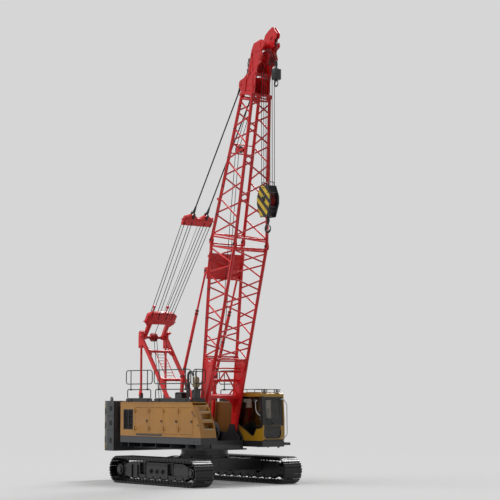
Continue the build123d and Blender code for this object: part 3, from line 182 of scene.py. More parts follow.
def shader_group(name, inputs, outputs):
    """An empty shader node group with named number inputs and outputs."""
    tree = bpy.data.node_groups.new(name, "ShaderNodeTree")
    for socket, value in inputs.items():
        tree.interface.new_socket(socket, in_out="INPUT", socket_type="NodeSocketFloat").default_value = value
    for socket, kind in outputs.items():
        tree.interface.new_socket(socket, in_out="OUTPUT", socket_type=kind)
    return tree, put(tree, "NodeGroupInput"), put(tree, "NodeGroupOutput")


def weathering_group():
    """Masks of outdoor use: uneven tone, worn edges, dust that lies low and on top, streaks and a fine grain."""
    values = {"Scale": 1.0, "Edge": 0.012, "Wear": 0.5, "Dust": 0.3, "Reach": 1.2}
    results = {key: "NodeSocketFloat" for key in ("Tone", "Wear", "Dust", "Streak", "Height")}
    tree, given, result = shader_group("weathering", values, results)
    spot = object_place(tree)
    scale = given.outputs["Scale"]
    broad = put(tree, "TexNoise", {"Vector": spot, "Scale": scale, "Detail": 5.0, "Roughness": 0.6})
    fine_scale = math(tree, "MULTIPLY", scale, 23.0)
    fine = put(tree, "TexNoise", {"Vector": spot, "Scale": fine_scale, "Detail": 3.0, "Roughness": 0.65})
    tone = ranged(tree, broad, 0.3, 0.7, 0.86, 1.1)
    normal = put(tree, "NewGeometry").outputs["Normal"]
    rounded = put(tree, "Bevel", {"Radius": given.outputs["Edge"]}, samples=4).outputs[0]
    facing = put(tree, "VectorMath", {0: normal, 1: rounded}, operation="DOT_PRODUCT").outputs["Value"]
    edge = math(tree, "MULTIPLY", math(tree, "SUBTRACT", 1.0, facing), 5.0)
    ragged = ranged(tree, fine, 0.42, 0.62)
    worn = math(tree, "MULTIPLY", math(tree, "MULTIPLY", edge, ragged), given.outputs["Wear"], clamp=True)
    parts = put(tree, "SeparateXYZ", {0: spot})
    upward = put(tree, "SeparateXYZ", {0: normal}).outputs["Z"]
    low = ranged(tree, parts.outputs["Z"], given.outputs["Reach"], 0.0)
    lying = math(tree, "MULTIPLY", math(tree, "MAXIMUM", upward, 0.0), 0.35)
    settled = math(tree, "ADD", math(tree, "MULTIPLY", low, 0.8), lying)
    patchy = ranged(tree, broad, 0.38, 0.66)
    dust = math(tree, "MULTIPLY", math(tree, "MULTIPLY", settled, patchy), given.outputs["Dust"], clamp=True)
    squashed = put(tree, "Mapping", {"Vector": spot, "Scale": (9.0, 9.0, 0.7)})
    runs = put(tree, "TexNoise", {"Vector": squashed, "Scale": scale, "Detail": 4.0})
    streak = ranged(tree, runs, 0.5, 0.75)
    for key, socket in (("Tone", tone), ("Wear", worn), ("Dust", dust), ("Streak", streak),
            ("Height", fine.outputs[0])):
        tree.links.new(socket, result.inputs[key])
    return tree


WEATHERING = weathering_group()


def blended(tree, factor, first, second):
    """A colour between two others."""
    mix = put(tree, "Mix", {0: factor, 6: first, 7: second}, data_type="RGBA")
    return mix.outputs[2]


def toned(tree, colour, tone):
    """A colour made a little lighter or darker from place to place."""
    grey = put(tree, "CombineColor", {0: tone, 1: tone, 2: tone})
    return put(tree, "Mix", {0: 1.0, 6: colour, 7: grey}, data_type="RGBA", blend_type="MULTIPLY").outputs[2]


def worn_metal(name, colour, under, roughness, wear=0.5, dust=0.3, reach=1.2, scale=1.0, edge=0.012, streaks=0.15,
        grain=0.15, metallic=0.0, coat=0.0, over=None):
    """Painted or bare metal. over, if given, turns the clean colour into a pattern before it weathers."""
    material, tree, out = blank_material(name)
    masks = put(tree, "Group", {}, node_tree=WEATHERING)
    for key, value in (("Scale", scale), ("Edge", edge), ("Wear", wear), ("Dust", dust), ("Reach", reach)):
        masks.inputs[key].default_value = value
    clean = over(tree, colour + (1,)) if over else colour + (1,)
    paint = toned(tree, clean, masks.outputs["Tone"])
    streaked = blended(tree, math(tree, "MULTIPLY", masks.outputs["Streak"], streaks), paint,
        tuple(c * 0.45 for c in colour) + (1,))
    chipped = blended(tree, masks.outputs["Wear"], streaked, under + (1,))
    dusty = blended(tree, masks.outputs["Dust"], chipped, DUST)
    rough = math(tree, "MULTIPLY_ADD", masks.outputs["Dust"], 0.4)
    rough.node.inputs[2].default_value = roughness
    uneven = math(tree, "MULTIPLY", rough, masks.outputs["Tone"], clamp=True)
    bump = put(tree, "Bump", {"Height": masks.outputs["Height"], "Strength": grain, "Distance": 0.004})
    surface = put(tree, "BsdfPrincipled", {"Base Color": dusty, "Roughness": uneven, "Normal": bump,
        "Metallic": metallic, "Coat Weight": coat, "Coat Roughness": 0.12})
    tree.links.new(surface.outputs[0], out.inputs["Surface"])
    return material


TRACK_STEEL = worn_metal("track_steel", (0.007, 0.007, 0.008), (0.1, 0.098, 0.095), 0.34, wear=0.5, dust=0.02,
    scale=3.0, metallic=0.35, grain=0.4, coat=0.15)


FORWARD, LEFT, UP = (1, 0, 0), (0, 1, 0), (0, 0, 1)


def angles(count, start=0.0):
    """Even steps of angle round a full turn."""
    return [start + 2 * pi * number / count for number in range(count)]


def sideways(y):
    """A step to the left."""
    return Vector((0, y, 0))


def raised(z):
    """A step up."""
    return Vector((0, 0, z))


def slab(bm, low, high, turn=None):
    """A box between two opposite corners, turned or moved by a matrix."""
    low, high = (Vector(map(pick, low, high)) for pick in (min, max))
    place = Matrix.Translation((low + high) / 2) @ Matrix.Diagonal((*(high - low), 1))
    return bmesh.ops.create_cube(bm, size=1.0, matrix=(turn or Matrix()) @ place)["verts"]


def rod(bm, start, end, radius, sides=20, end_radius=None):
    """A round bar or cone between two points."""
    start, end = Vector(start), Vector(end)
    turn = (end - start).to_track_quat("Z", "Y").to_matrix().to_4x4()
    place = Matrix.Translation((start + end) / 2) @ turn
    bmesh.ops.create_cone(bm, cap_ends=True, segments=sides, radius1=radius,
        radius2=radius if end_radius is None else end_radius, depth=(end - start).length, matrix=place)


def pin(bm, point, y0, y1, radius, sides=20):
    """A round bar that runs sideways, given by its ends' distances from a point."""
    rod(bm, Vector(point) + sideways(y0), Vector(point) + sideways(y1), radius, sides)


def slice_between(bm, outline, lift):
    """A flat plate: a closed outline of points and the vector of its thickness."""
    lower = [bm.verts.new(Vector(p)) for p in outline]
    upper = [bm.verts.new(Vector(p) + Vector(lift)) for p in outline]
    bm.faces.new(lower)
    bm.faces.new(upper[::-1])
    for i in range(len(outline)):
        j = (i + 1) % len(outline)
        bm.faces.new((lower[j], lower[i], upper[i], upper[j]))


def side_profile(bm, points, y0, y1):
    """A flat plate whose outline is given in X and Z."""
    slice_between(bm, [(x, y0, z) for x, z in points], (0, y1 - y0, 0))


def finish_mesh(bm, material):
    """Turns the faces outward, shades flat bends smooth and returns the mesh."""
    bmesh.ops.recalc_face_normals(bm, faces=bm.faces)
    mesh = bpy.data.meshes.new("shape")
    bm.to_mesh(mesh)
    bm.free()
    mesh.materials.append(material)
    mesh.polygons.foreach_set("use_smooth", [True] * len(mesh.polygons))
    mesh.set_sharp_from_angle(angle=SMOOTH_BELOW)
    return mesh


def finish_piece(name, mesh, rounding=0.0, body="upperworks", replaces=()):
    """Names the piece, rounds its edges, and ties it to its body, if it has one."""
    mesh.name = name
    piece = bpy.data.objects.new(name, mesh)
    scene.collection.objects.link(piece)
    if rounding:
        bevel = piece.modifiers.new("rounding", "BEVEL")
        bevel.width = rounding
        bevel.segments = 2
        bevel.limit_method = "ANGLE"
        bevel.angle_limit = ROUND_ABOVE
        bevel.harden_normals = True
    if replaces:
        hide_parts(*replaces)
    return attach(piece, body) if body else piece


def make(name, bm, material, rounding=0.0, body="upperworks", replaces=()):
    """Finishes a piece from its mesh under construction."""
    return finish_piece(name, finish_mesh(bm, material), rounding, body, replaces=replaces)


def geometry_tree(name, inputs):
    """An empty geometry node tree with named inputs."""
    tree = bpy.data.node_groups.new(name, "GeometryNodeTree")
    tree.interface.new_socket("Geometry", in_out="INPUT", socket_type="NodeSocketGeometry")
    for socket, kind in inputs.items():
        tree.interface.new_socket(socket, in_out="INPUT", socket_type="NodeSocket" + kind)
    tree.interface.new_socket("Geometry", in_out="OUTPUT", socket_type="NodeSocketGeometry")
    return tree, put(tree, "NodeGroupInput"), put(tree, "NodeGroupOutput")


def repeating_tree():
    """Sets one item on every point, turned by the point's own directions, with a little difference in size."""
    tree, given, result = geometry_tree("repeat_item", {"Item": "Object", "Finish": "Material", "Uneven": "Float"})
    item = put(tree, "GeometryNodeObjectInfo", {"Object": given.outputs["Item"]})
    along = put(tree, "GeometryNodeInputNamedAttribute", {"Name": "along"}, data_type="FLOAT_VECTOR")
    out = put(tree, "GeometryNodeInputNamedAttribute", {"Name": "out"}, data_type="FLOAT_VECTOR")
    turn = put(tree, "FunctionNodeAxesToRotation", {0: along, 1: out}, primary_axis="X", secondary_axis="Z")
    least = math(tree, "SUBTRACT", 1.0, given.outputs["Uneven"])
    size = put(tree, "FunctionNodeRandomValue", {2: least, 3: 1.0, "Seed": 7}, data_type="FLOAT")
    placed = put(tree, "GeometryNodeInstanceOnPoints", {"Points": given.outputs["Geometry"],
        "Instance": item.outputs["Geometry"], "Rotation": turn, "Scale": size.outputs[1]})
    real = put(tree, "GeometryNodeRealizeInstances", {"Geometry": placed})
    painted = put(tree, "GeometryNodeSetMaterial", {"Geometry": real, "Material": given.outputs["Finish"]})
    tree.links.new(painted.outputs[0], result.inputs[0])
    return tree


REPEAT = repeating_tree()


def grown(tree, base, **inputs):
    """Runs a node tree on a base mesh and returns the plain mesh that it makes."""
    carrier = bpy.data.objects.new("carrier", base)
    scene.collection.objects.link(carrier)
    modifier = carrier.modifiers.new("grow", "NODES")
    modifier.node_group = tree
    for item in tree.interface.items_tree:
        if item.in_out == "INPUT" and item.name in inputs:
            modifier[item.identifier] = inputs[item.name]
    graph = bpy.context.evaluated_depsgraph_get()
    mesh = bpy.data.meshes.new_from_object(carrier.evaluated_get(graph), depsgraph=graph)
    bpy.data.objects.remove(carrier)
    mesh.set_sharp_from_angle(angle=SMOOTH_BELOW)
    return mesh


def repeated(item_mesh, places, material, uneven=0.0):
    """A mesh of one item at many places. A place is (point, along, out)."""
    base = bpy.data.meshes.new("places")
    base.from_pydata([place[0] for place in places], [], [])
    for index, key in ((1, "along"), (2, "out")):
        layer = base.attributes.new(key, "FLOAT_VECTOR", "POINT")
        layer.data.foreach_set("vector", [value for place in places for value in place[index]])
    item = bpy.data.objects.new("item", item_mesh)
    scene.collection.objects.link(item)
    mesh = grown(REPEAT, base, Item=item, Finish=material, Uneven=uneven)
    bpy.data.objects.remove(item)
    return mesh


def make_row(name, bm, places, material, body="upperworks"):
    """Finishes a row of like items from the mesh of one of them."""
    finish_piece(name, repeated(finish_mesh(bm, material), places, material), body=body)


def loop_place(length):
    """Point, direction and outward direction at a length along the track's loop."""
    straight, turn = 2 * LOOP_REACH, pi * LOOP_RADIUS
    length %= 2 * (straight + turn)
    lower = length >= straight + turn
    length -= (straight + turn) * lower
    sign = -1 if lower else 1
    if length < straight:
        return Vector((sign * (length - LOOP_REACH), 0, LOOP_HEIGHT + sign * LOOP_RADIUS)), \
            Vector((sign, 0, 0)), raised(sign)
    angle = (length - straight) / LOOP_RADIUS
    out = Vector((sign * sin(angle), 0, sign * cos(angle)))
    return Vector((sign * LOOP_REACH, 0, LOOP_HEIGHT)) + out * LOOP_RADIUS, Vector((out.z, 0, -out.x)), out


def shoe_mesh():
    """One shoe about the middle of its inner face, X along the chain and Z outward."""
    bm = bmesh.new()
    half = SHOE_PITCH / 2 - 0.009
    plate = [(-half, 0.012), (-half + 0.02, 0.0), (half - 0.02, 0.0), (half, 0.012), (half, 0.03),
        (half - 0.016, 0.036), (half - 0.022, 0.054), (half - 0.052, 0.054), (half - 0.06, 0.036),
        (-half + 0.06, 0.036), (-half + 0.052, 0.054), (-half + 0.022, 0.054), (-half + 0.016, 0.036),
        (-half, 0.03)]
    side_profile(bm, plate, -SHOE_HALF, SHOE_HALF)
    slab(bm, (half - 0.01, -SHOE_HALF + 0.004, -0.012), (half + 0.024, SHOE_HALF - 0.004, 0.001))
    for side in (-1, 1):
        for way in (-1, 1):
            rod(bm, (way * 0.03, side * 0.12, 0.036), (way * 0.03, side * 0.12, 0.044), 0.013, 6)
        link = [(-half - 0.004, -0.028), (-half + 0.03, -0.085), (half - 0.03, -0.108), (half + 0.004, -0.075),
            (half + 0.004, -0.02), (half - 0.02, 0.004), (-half + 0.02, 0.004)]
        side_profile(bm, link, side * 0.088 - 0.012, side * 0.088 + 0.012)
        slab(bm, (-0.05, side * 0.24 - 0.006, -0.022), (0.05, side * 0.24 + 0.006, 0.004))
        slab(bm, (-0.05, side * 0.36 - 0.006, -0.03), (0.05, side * 0.36 + 0.006, 0.004))
    pin(bm, (half + 0.002, 0, -0.055), -0.1, 0.1, 0.024, 8)
    side_profile(bm, [(-0.05, 0.004), (0.05, 0.004), (0.025, -0.06), (-0.025, -0.06)], -0.04, 0.04)
    return finish_mesh(bm, TRACK_STEEL)


for side_name, side in SIDES:
    shift = sideways(side * TRACK_MIDDLE)
    shoe_places = []
    for number in range(SHOES):
        point, along, out = loop_place((number + 0.5) * SHOE_PITCH)
        shoe_places.append((point + shift, along, out))
    chain_mesh = repeated(shoe_mesh(), shoe_places, TRACK_STEEL)
    finish_piece(f"track_shoes_{side_name}", chain_mesh, body="undercarriage",
        replaces=(f"track_{side_name}",))


# ---------------------------------------------------------------- track side frames and wheels
# A side frame is a welded box of steel plate, open at each end round its wheel. The sprocket is at the
# rear with its travel motor's hub, the idler in front, and bolted flanges and covers close the openings.
FRAME_PAINT = worn_metal("frame_paint", (0.022, 0.022, 0.023), (0.14, 0.135, 0.13), 0.4, wear=0.3, dust=0.05,
    scale=1.6)
BARE_STEEL = worn_metal("bare_steel", (0.3, 0.3, 0.31), (0.48, 0.48, 0.48), 0.32, wear=0.6, dust=0.15, scale=4.0,
    metallic=1.0)
DARK_STEEL = worn_metal("dark_steel", (0.045, 0.046, 0.05), (0.25, 0.25, 0.25), 0.36, wear=0.5, dust=0.2,
    scale=4.0, metallic=0.7)
# Flat black: painted shade for holes and recesses drawn as flat discs and plates, and the colour of dark joint
# lines.
HOLE_SHADE_AND_JOINT_BLACK = worn_metal("hole_shade_and_joint_black", (0.008, 0.008, 0.009), (0.03, 0.03, 0.03), 0.8, wear=0.0, dust=0.1)
JOIN_DISTANCE = 0.00005
FLAT_WITHIN = radians(0.4)      # triangles that bend less than this are one face


def merged(node, material):
    """A copy of a CAD node's mesh with its loose triangles joined into whole flat faces."""
    bm = bmesh.new()
    bm.from_mesh(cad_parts[node].data)
    bmesh.ops.remove_doubles(bm, verts=bm.verts, dist=JOIN_DISTANCE)
    bmesh.ops.dissolve_limit(bm, angle_limit=FLAT_WITHIN, verts=bm.verts, edges=bm.edges)
    mesh = bpy.data.meshes.new(node)
    bm.to_mesh(mesh)
    bm.free()
    mesh.materials.clear()
    mesh.materials.append(material)
    mesh.polygons.foreach_set("use_smooth", [True] * len(mesh.polygons))
    mesh.set_sharp_from_angle(angle=SMOOTH_BELOW)
    return mesh


def rounded_node(node, material, rounding=0.006, body="upperworks"):
    """The CAD node itself with its sharp edges eased, as plate and castings have them."""
    return finish_piece(f"{node}_eased", merged(node, material), rounding, body, replaces=(node,))


def bolt_mesh(radius, height):
    """A hexagon head on its washer, standing on the XY plane with Z out."""
    bm = bmesh.new()
    rod(bm, (0, 0, -0.002), (0, 0, height * 0.3), radius * 1.35, 12)
    rod(bm, (0, 0, height * 0.3), (0, 0, height), radius, 6, radius * 0.92)
    return finish_mesh(bm, DARK_STEEL)


def bolts(name, places, radius, body="upperworks", material=None, height=None):
    """A set of like bolts. A place is (point, outward direction)."""
    spots = []
    for point, out in places:
        out = Vector(out).normalized()
        spots.append((Vector(point), out.orthogonal().normalized(), out))
    mesh = repeated(bolt_mesh(radius, height or radius * 1.1), spots, material or DARK_STEEL, uneven=0.04)
    return finish_piece(name, mesh, body=body)


def circle_places(centre, out, radius, count, start=0.0):
    """Bolt places round a circle."""
    out = Vector(out).normalized()
    across = out.orthogonal().normalized()
    other = out.cross(across)
    return [(Vector(centre) + (across * cos(a) + other * sin(a)) * radius, out) for a in angles(count, start)]


FRAME_FACE = 0.165              # from a side frame's middle to its outer plate
FRAME_WINDOWS = (-0.8, 0.85)
frame_bolts = []
for side_name, side in SIDES:
    rounded_node(f"track_frame_{side_name}", FRAME_PAINT, 0.008, "undercarriage")
    rounded_node(f"track_wheels_{side_name}", TRACK_STEEL, 0.006, "undercarriage")
    face = side * (TRACK_MIDDLE + FRAME_FACE)
    details = bmesh.new()
    near, far = sorted((face, face + side * 0.025))
    for x in FRAME_WINDOWS:
        for low, high in (((-0.18, 0.33), (-0.15, 0.76)), ((0.15, 0.33), (0.18, 0.76)),
                ((-0.18, 0.74), (0.18, 0.77)), ((-0.18, 0.32), (0.18, 0.35))):
            slab(details, (x + low[0], near, low[1]), (x + high[0], far, high[1]))
    slab(details, (1.06, near, 0.34), (1.9, far + 0.004 * (side > 0), 0.68))
    slab(details, (-0.55, near, 0.66), (0.6, far, 0.69))
    for x in (-0.32, 0.02, 0.36):
        pin(details, (x, 0, 0.47), face, face + side * 0.06, 0.075, 24)
        pin(details, (x, 0, 0.47), face, face + side * 0.09, 0.03, 16)
    for x in (-1.45, -1.1):
        side_profile(details, [(x - 0.012, 0.25), (x + 0.012, 0.25), (x + 0.012, 0.66), (x - 0.012, 0.66)], face,
            face + side * 0.05)
    for x, radius in ((LOOP_REACH, 0.15), (-LOOP_REACH, 0.19)):
        pin(details, (x, 0, LOOP_HEIGHT), face - side * 0.02, face + side * 0.07, radius, 40)
        pin(details, (x, 0, LOOP_HEIGHT), face, face + side * 0.12, radius * 0.6, 32)
    make(f"track_frame_covers_{side_name}", details, FRAME_PAINT, 0.006, "undercarriage")
    frame_bolts += circle_places((LOOP_REACH, face + side * 0.07, LOOP_HEIGHT), (0, side, 0), 0.122, 8)
    frame_bolts += circle_places((-LOOP_REACH, face + side * 0.07, LOOP_HEIGHT), (0, side, 0), 0.155, 14)
    for x in (1.12, 1.48, 1.84):
        for z in (0.38, 0.64):
            frame_bolts.append(((x, face + side * 0.025, z), (0, side, 0)))
bolts("track_frame_bolts", frame_bolts, 0.016, "undercarriage")

# Carrier rollers hold up the upper run between the side frame's blocks, and each lower roller has a
# flanged tread with a retaining cap on its shaft.
caps = bmesh.new()
for side_name, side in SIDES:
    for number in range(8):
        x = -1.533 + 3.066 * number / 7
        y = side * TRACK_MIDDLE
        for way in (-1, 1):
            pin(caps, (x, 0, 0.258), y + way * 0.1645, y + way * 0.19, 0.052, 20)
            pin(caps, (x, 0, 0.258), y + way * 0.19, y + way * 0.2, 0.03, 12)
make("roller_caps", caps, DARK_STEEL, 0.004, "undercarriage")


# ---------------------------------------------------------------- carbody and slewing ring
# The carbody is a fabricated steel box between the tracks. The slewing ring is bolted on its round seat,
# with a ring of high-tensile bolts inside and out, and two hose bundles run down to the travel motors.
rounded_node("carbody", FRAME_PAINT, 0.012, "undercarriage")
rounded_node("slew_ring_outer", DARK_STEEL, 0.006, "undercarriage")
rounded_node("slew_ring_inner", DARK_STEEL, 0.006)
RING_SEAT_TOP = 1.0
RING_TOP = 1.17
bolts("ring_bolts", circle_places((0, 0, RING_TOP - 0.001), (0, 0, 1), 0.76, 48), 0.018,
    "undercarriage", height=0.008)
bolts("ring_seat_bolts", circle_places((0, 0, RING_SEAT_TOP), (0, 0, 1), 0.84, 40), 0.013,
    "undercarriage")

hull = bmesh.new()
for way in (-1, 1):
    for side in (-1, 1):
        x = way * 0.81
        y = side * 1.03
        side_gusset = [(x - 0.19, y, 0.84), (x + 0.19, y, 0.84), (x + 0.13, y + side * 0.28, 0.84),
            (x - 0.13, y + side * 0.28, 0.84)]
        slice_between(hull, side_gusset, (0, 0, 0.022))
        slab(hull, (x - 0.215, side * 1.69 - 0.02, 0.44), (x + 0.215, side * 1.69 + 0.02, 0.88))
    slab(hull, (way * 1.0 - 0.014, -0.45, 0.56), (way * 1.0 + 0.014, 0.45, 0.84))
    rod(hull, (way * 0.999, 0, 0.7), (way * 1.03, 0, 0.7), 0.13, 32)
for a in angles(8, radians(22.5)):
    out = Vector((cos(a), sin(a), 0))
    across = Vector((-sin(a), cos(a), 0)) * 0.012
    rib = [out * 0.858 + raised(0.9), out * 0.948 + raised(0.9), out * 0.858 + raised(0.985)]
    slice_between(hull, [p - across for p in rib], across * 2)
make("carbody_details", hull, FRAME_PAINT, 0.005, "undercarriage")


def tube(bm, points, radius, sides=12, closed=False, square=False):
    """A bent tube through points. Its ends are capped unless the run is closed."""
    points = [Vector(p) for p in points]
    count = len(points)
    normal = None
    rings = []
    for index, point in enumerate(points):
        before = points[index - 1] if index or closed else point
        after = points[(index + 1) % count] if index < count - 1 or closed else point
        way = ((after - point).normalized() + (point - before).normalized()).normalized()
        normal = way.orthogonal() if normal is None else normal - way * normal.dot(way)
        normal.normalize()
        other = way.cross(normal)
        widen = 1.0
        if index and index < count - 1 or closed:
            bend = (after - point).angle(point - before, 0.0)
            widen = 1.0 / max(cos(bend / 2), 0.5)
        ring = [bm.verts.new(point + (normal * cos(a) + other * sin(a)) * radius * (widen if square else 1.0))
            for a in angles(sides)]
        rings.append(ring)
    pairs = list(zip(rings, rings[1:])) + ([(rings[-1], rings[0])] if closed else [])
    for first, second in pairs:
        for k in range(sides):
            j = (k + 1) % sides
            bm.faces.new((first[k], first[j], second[j], second[k]))
    if not closed:
        bm.faces.new(rings[0])
        bm.faces.new(rings[-1][::-1])


def bent(corners, radius, steps=5):
    """Points along a run with rounded corners."""
    corners = [Vector(c) for c in corners]
    run = [corners[0]]
    for before, corner, after in zip(corners, corners[1:], corners[2:]):
        back = (before - corner)
        ahead = (after - corner)
        cut = min(radius, back.length * 0.48, ahead.length * 0.48)
        start, end = corner + back.normalized() * cut, corner + ahead.normalized() * cut
        for step in range(steps + 1):
            t = step / steps
            run.append(start * (1 - t) ** 2 + corner * 2 * t * (1 - t) + end * t ** 2)
    return run + [corners[-1]]


def run_round(corners, radius, steps=5):
    """A run with rounded corners round an opening, open between its first two corners."""
    return bent(corners + corners[:2], radius, steps)[steps + 1:-1]


RUBBER = worn_metal("black_rubber", (0.014, 0.014, 0.015), (0.05, 0.05, 0.05), 0.55, wear=0.1, dust=0.25, scale=6.0)
hoses = bmesh.new()
for side in (-1, 1):
    for offset in (-0.05, 0.0, 0.05):
        run = [(-0.42 + offset, side * 0.62, 0.93), (-0.5 + offset, side * 0.95, 0.96),
            (-0.62 + offset, side * 1.2, 0.895), (-0.66 + offset, side * 1.72, 0.895)]
        tube(hoses, bent(run, 0.15), 0.017, 10)
make("travel_hoses", hoses, RUBBER, body="undercarriage")


# ---------------------------------------------------------------- revolving frame
# Two long steel webs carry everything above the ring, with side decks for the houses and fork plates for
# the boom's feet. It is welded from thick plate and painted dark grey, with bolts along the deck's edge.
DECK_PAINT = worn_metal("deck_paint", (0.036, 0.038, 0.043), (0.16, 0.155, 0.15), 0.36, wear=0.35, dust=0.12,
    scale=1.1, coat=0.25)
DECK_SIDE = 1.5
DECK_FRONT = 1.8
DECK_REAR = -3.08
FOOT_X, FOOT_Z = 0.78, 1.91     # the boom's foot pin
WINCH_AXES = ((-0.12, 1.8), (-1.5, 1.8), (-2.35, 1.75))
bed = merged("revolving_frame", DECK_PAINT)
bed.materials.append(FRAME_PAINT)
# Faces that look forward at the front of the frame take the darker frame paint: painted shade.
for polygon in bed.polygons:
    if polygon.normal.x > 0.7 and polygon.center.x > 1.0:
        polygon.material_index = 1
finish_piece("revolving_frame_eased", bed, 0.008, replaces=("revolving_frame",))
deck_bolts = []
for number in range(22):
    x = DECK_REAR + 0.12 + (DECK_FRONT - DECK_REAR - 0.24) * number / 21
    deck_bolts.append(((x, -DECK_SIDE, 1.585), (0, -1, 0)))
    if x < 0.45:
        deck_bolts.append(((x, DECK_SIDE, 1.585), (0, 1, 0)))
for y in (-1.4, -1.15, -0.9):
    deck_bolts.append(((DECK_FRONT, y, 1.585), (1, 0, 0)))
for side in (-1, 1):
    deck_bolts += circle_places((FOOT_X, side * 0.795, FOOT_Z), (0, side, 0), 0.045, 3, 0.5)
bolts("deck_bolts", deck_bolts, 0.011)

deck = bmesh.new()
slab(deck, (DECK_REAR, -1.506, 1.395), (DECK_FRONT + 0.004, -1.495, 1.415))
slab(deck, (DECK_REAR, -1.506, 1.545), (DECK_FRONT + 0.004, -1.498, 1.557))
for x in (-2.6, -1.8, -0.9, 0.0, 0.9):
    slab(deck, (x - 0.01, -1.47, 1.24), (x + 0.01, -0.72, 1.4))
    if x < 0.4:
        slab(deck, (x - 0.01, 0.72, 1.24), (x + 0.01, 1.47, 1.4))
slab(deck, (1.18, -0.62, 1.2), (1.215, 0.62, 1.38))
for side in (-1, 1):
    pin(deck, (FOOT_X, 0, FOOT_Z), side * 0.775, side * 0.815, 0.085, 32)
    slab(deck, (FOOT_X + 0.02, side * 0.79, FOOT_Z - 0.12), (FOOT_X + 0.1, side * 0.81, FOOT_Z - 0.07))
    for x, z in WINCH_AXES:
        pin(deck, (x, 0, z), side * 0.64, side * 0.675, 0.125, 32)
make("deck_details", deck, DECK_PAINT, 0.003)
# Two holes in the deck's side, drawn as flush black discs: painted shade.
holes = bmesh.new()
for x in (1.42, 1.62):
    pin(holes, (x, 0, 1.475), -1.5015, -1.499, 0.033, 24)
make("deck_holes", holes, HOLE_SHADE_AND_JOINT_BLACK)
winch_bolts = []
for x, z in WINCH_AXES:
    for side in (-1, 1):
        winch_bolts += circle_places((x, side * 0.675, z), (0, side, 0), 0.098, 10)
bolts("winch_bearing_bolts", winch_bolts, 0.009)


# ---------------------------------------------------------------- counterweight slabs
# Three cast slabs hang at the rear, stacked between the webs. Each has lifting recesses on its sides, drawn
# as black plates of painted shade, a joint line to the next, and warning stripes at its slanted rear corners.
CAST_PAINT = worn_metal("cast_paint", (0.052, 0.056, 0.06), (0.17, 0.16, 0.15), 0.5, wear=0.3, dust=0.1, scale=0.9,
    grain=0.6, edge=0.02)
SLAB_LEVELS = (1.06, 1.81, 2.32, 2.87)
CORNER_IN = Vector((-3.95, 1.5, 0))
CORNER_OUT = Vector((-4.24, 1.42, 0))
CORNER_REAR = Vector((-4.33, 1.15, 0))
for level, slab_name in enumerate(("lower", "middle", "upper")):
    rounded_node(f"counterweight_{slab_name}", CAST_PAINT, 0.016)


def stripe_pattern(tree, colour):
    """Wide black diagonal stripes over a colour, leaning outward and down on both rear corners."""
    spot = put(tree, "SeparateXYZ", {0: object_place(tree)})
    outward = math(tree, "ABSOLUTE", spot.outputs["Y"])
    level = math(tree, "SUBTRACT", spot.outputs["Z"], math(tree, "MULTIPLY", outward, 1.2))
    dark = math(tree, "GREATER_THAN", math(tree, "PINGPONG", level, 0.25), 0.12)
    return blended(tree, dark, colour, (0.012, 0.012, 0.013, 1))


WARNING = worn_metal("warning_stripes", (0.78, 0.58, 0.2), (0.05, 0.05, 0.05), 0.4, wear=0.2, dust=0.1, scale=3.0,
    over=stripe_pattern)
stripes = bmesh.new()
fittings = bmesh.new()
for side in (-1, 1):
    inner, outer, rear = (Vector((p.x, p.y * side, 0)) for p in (CORNER_IN, CORNER_OUT, CORNER_REAR))
    out = (outer - inner).cross(raised(1)).normalized() * -side
    back = (rear - outer).cross(raised(1)).normalized() * -side
    for low, high in ((1.08, 1.74), (1.84, 2.28), (2.35, 2.83)):
        for far, low_share, high_share, face in ((inner, 0.92, 0.12, out), (rear, 0.95, 0.95, back)):
            slant = [outer.lerp(far, low_share) + raised(low), outer + raised(low), outer + raised(high),
                outer.lerp(far, high_share) + raised(high)]
            slice_between(stripes, slant, face * 0.003)
    for low, high in zip(SLAB_LEVELS, SLAB_LEVELS[1:]):
        middle = (low + high) / 2
        # Lifting recesses drawn as thin black plates on the faces: painted shade.
        slab(fittings, (-3.8, side * 1.5, middle - 0.09), (-3.64, side * 1.506, middle + 0.09))
        slab(fittings, (-4.336, side * 0.75 - 0.16, middle - 0.05), (-4.328, side * 0.75 + 0.16, middle + 0.05))
    # Dark joint lines between the slabs.
    for level in SLAB_LEVELS[1:3]:
        slab(fittings, (-3.92, side * 1.499, level - 0.006), (-3.56, side * 1.503, level + 0.006))
        slab(fittings, (-4.332, -1.1, level - 0.006), (-4.329, 1.1, level + 0.006))
make("counterweight_stripes", stripes, WARNING)
make("counterweight_recesses", fittings, HOLE_SHADE_AND_JOINT_BLACK, 0.002)
pins = bmesh.new()
for side in (-1, 1):
    for z in (1.95, 2.45):
        pin(pins, (-3.5, 0, z), side * 1.18, side * 1.3, 0.05, 24)
    slab(pins, (-3.545, side * 1.24 - 0.06, 1.75), (-3.47, side * 1.24 + 0.06, 2.7))
    rod(pins, (-4.345, side * 0.3, 2.872), (-4.2, side * 0.3, 2.872), 0.02, 16)
for side in (-1, 1):
    for level in SLAB_LEVELS[1:3]:
        slab(pins, (-4.33 - 0.012, side * 1.02 - 0.05, level - 0.09), (-4.325, side * 1.02 + 0.05, level + 0.09))
make("counterweight_ties", pins, DARK_STEEL, 0.004)


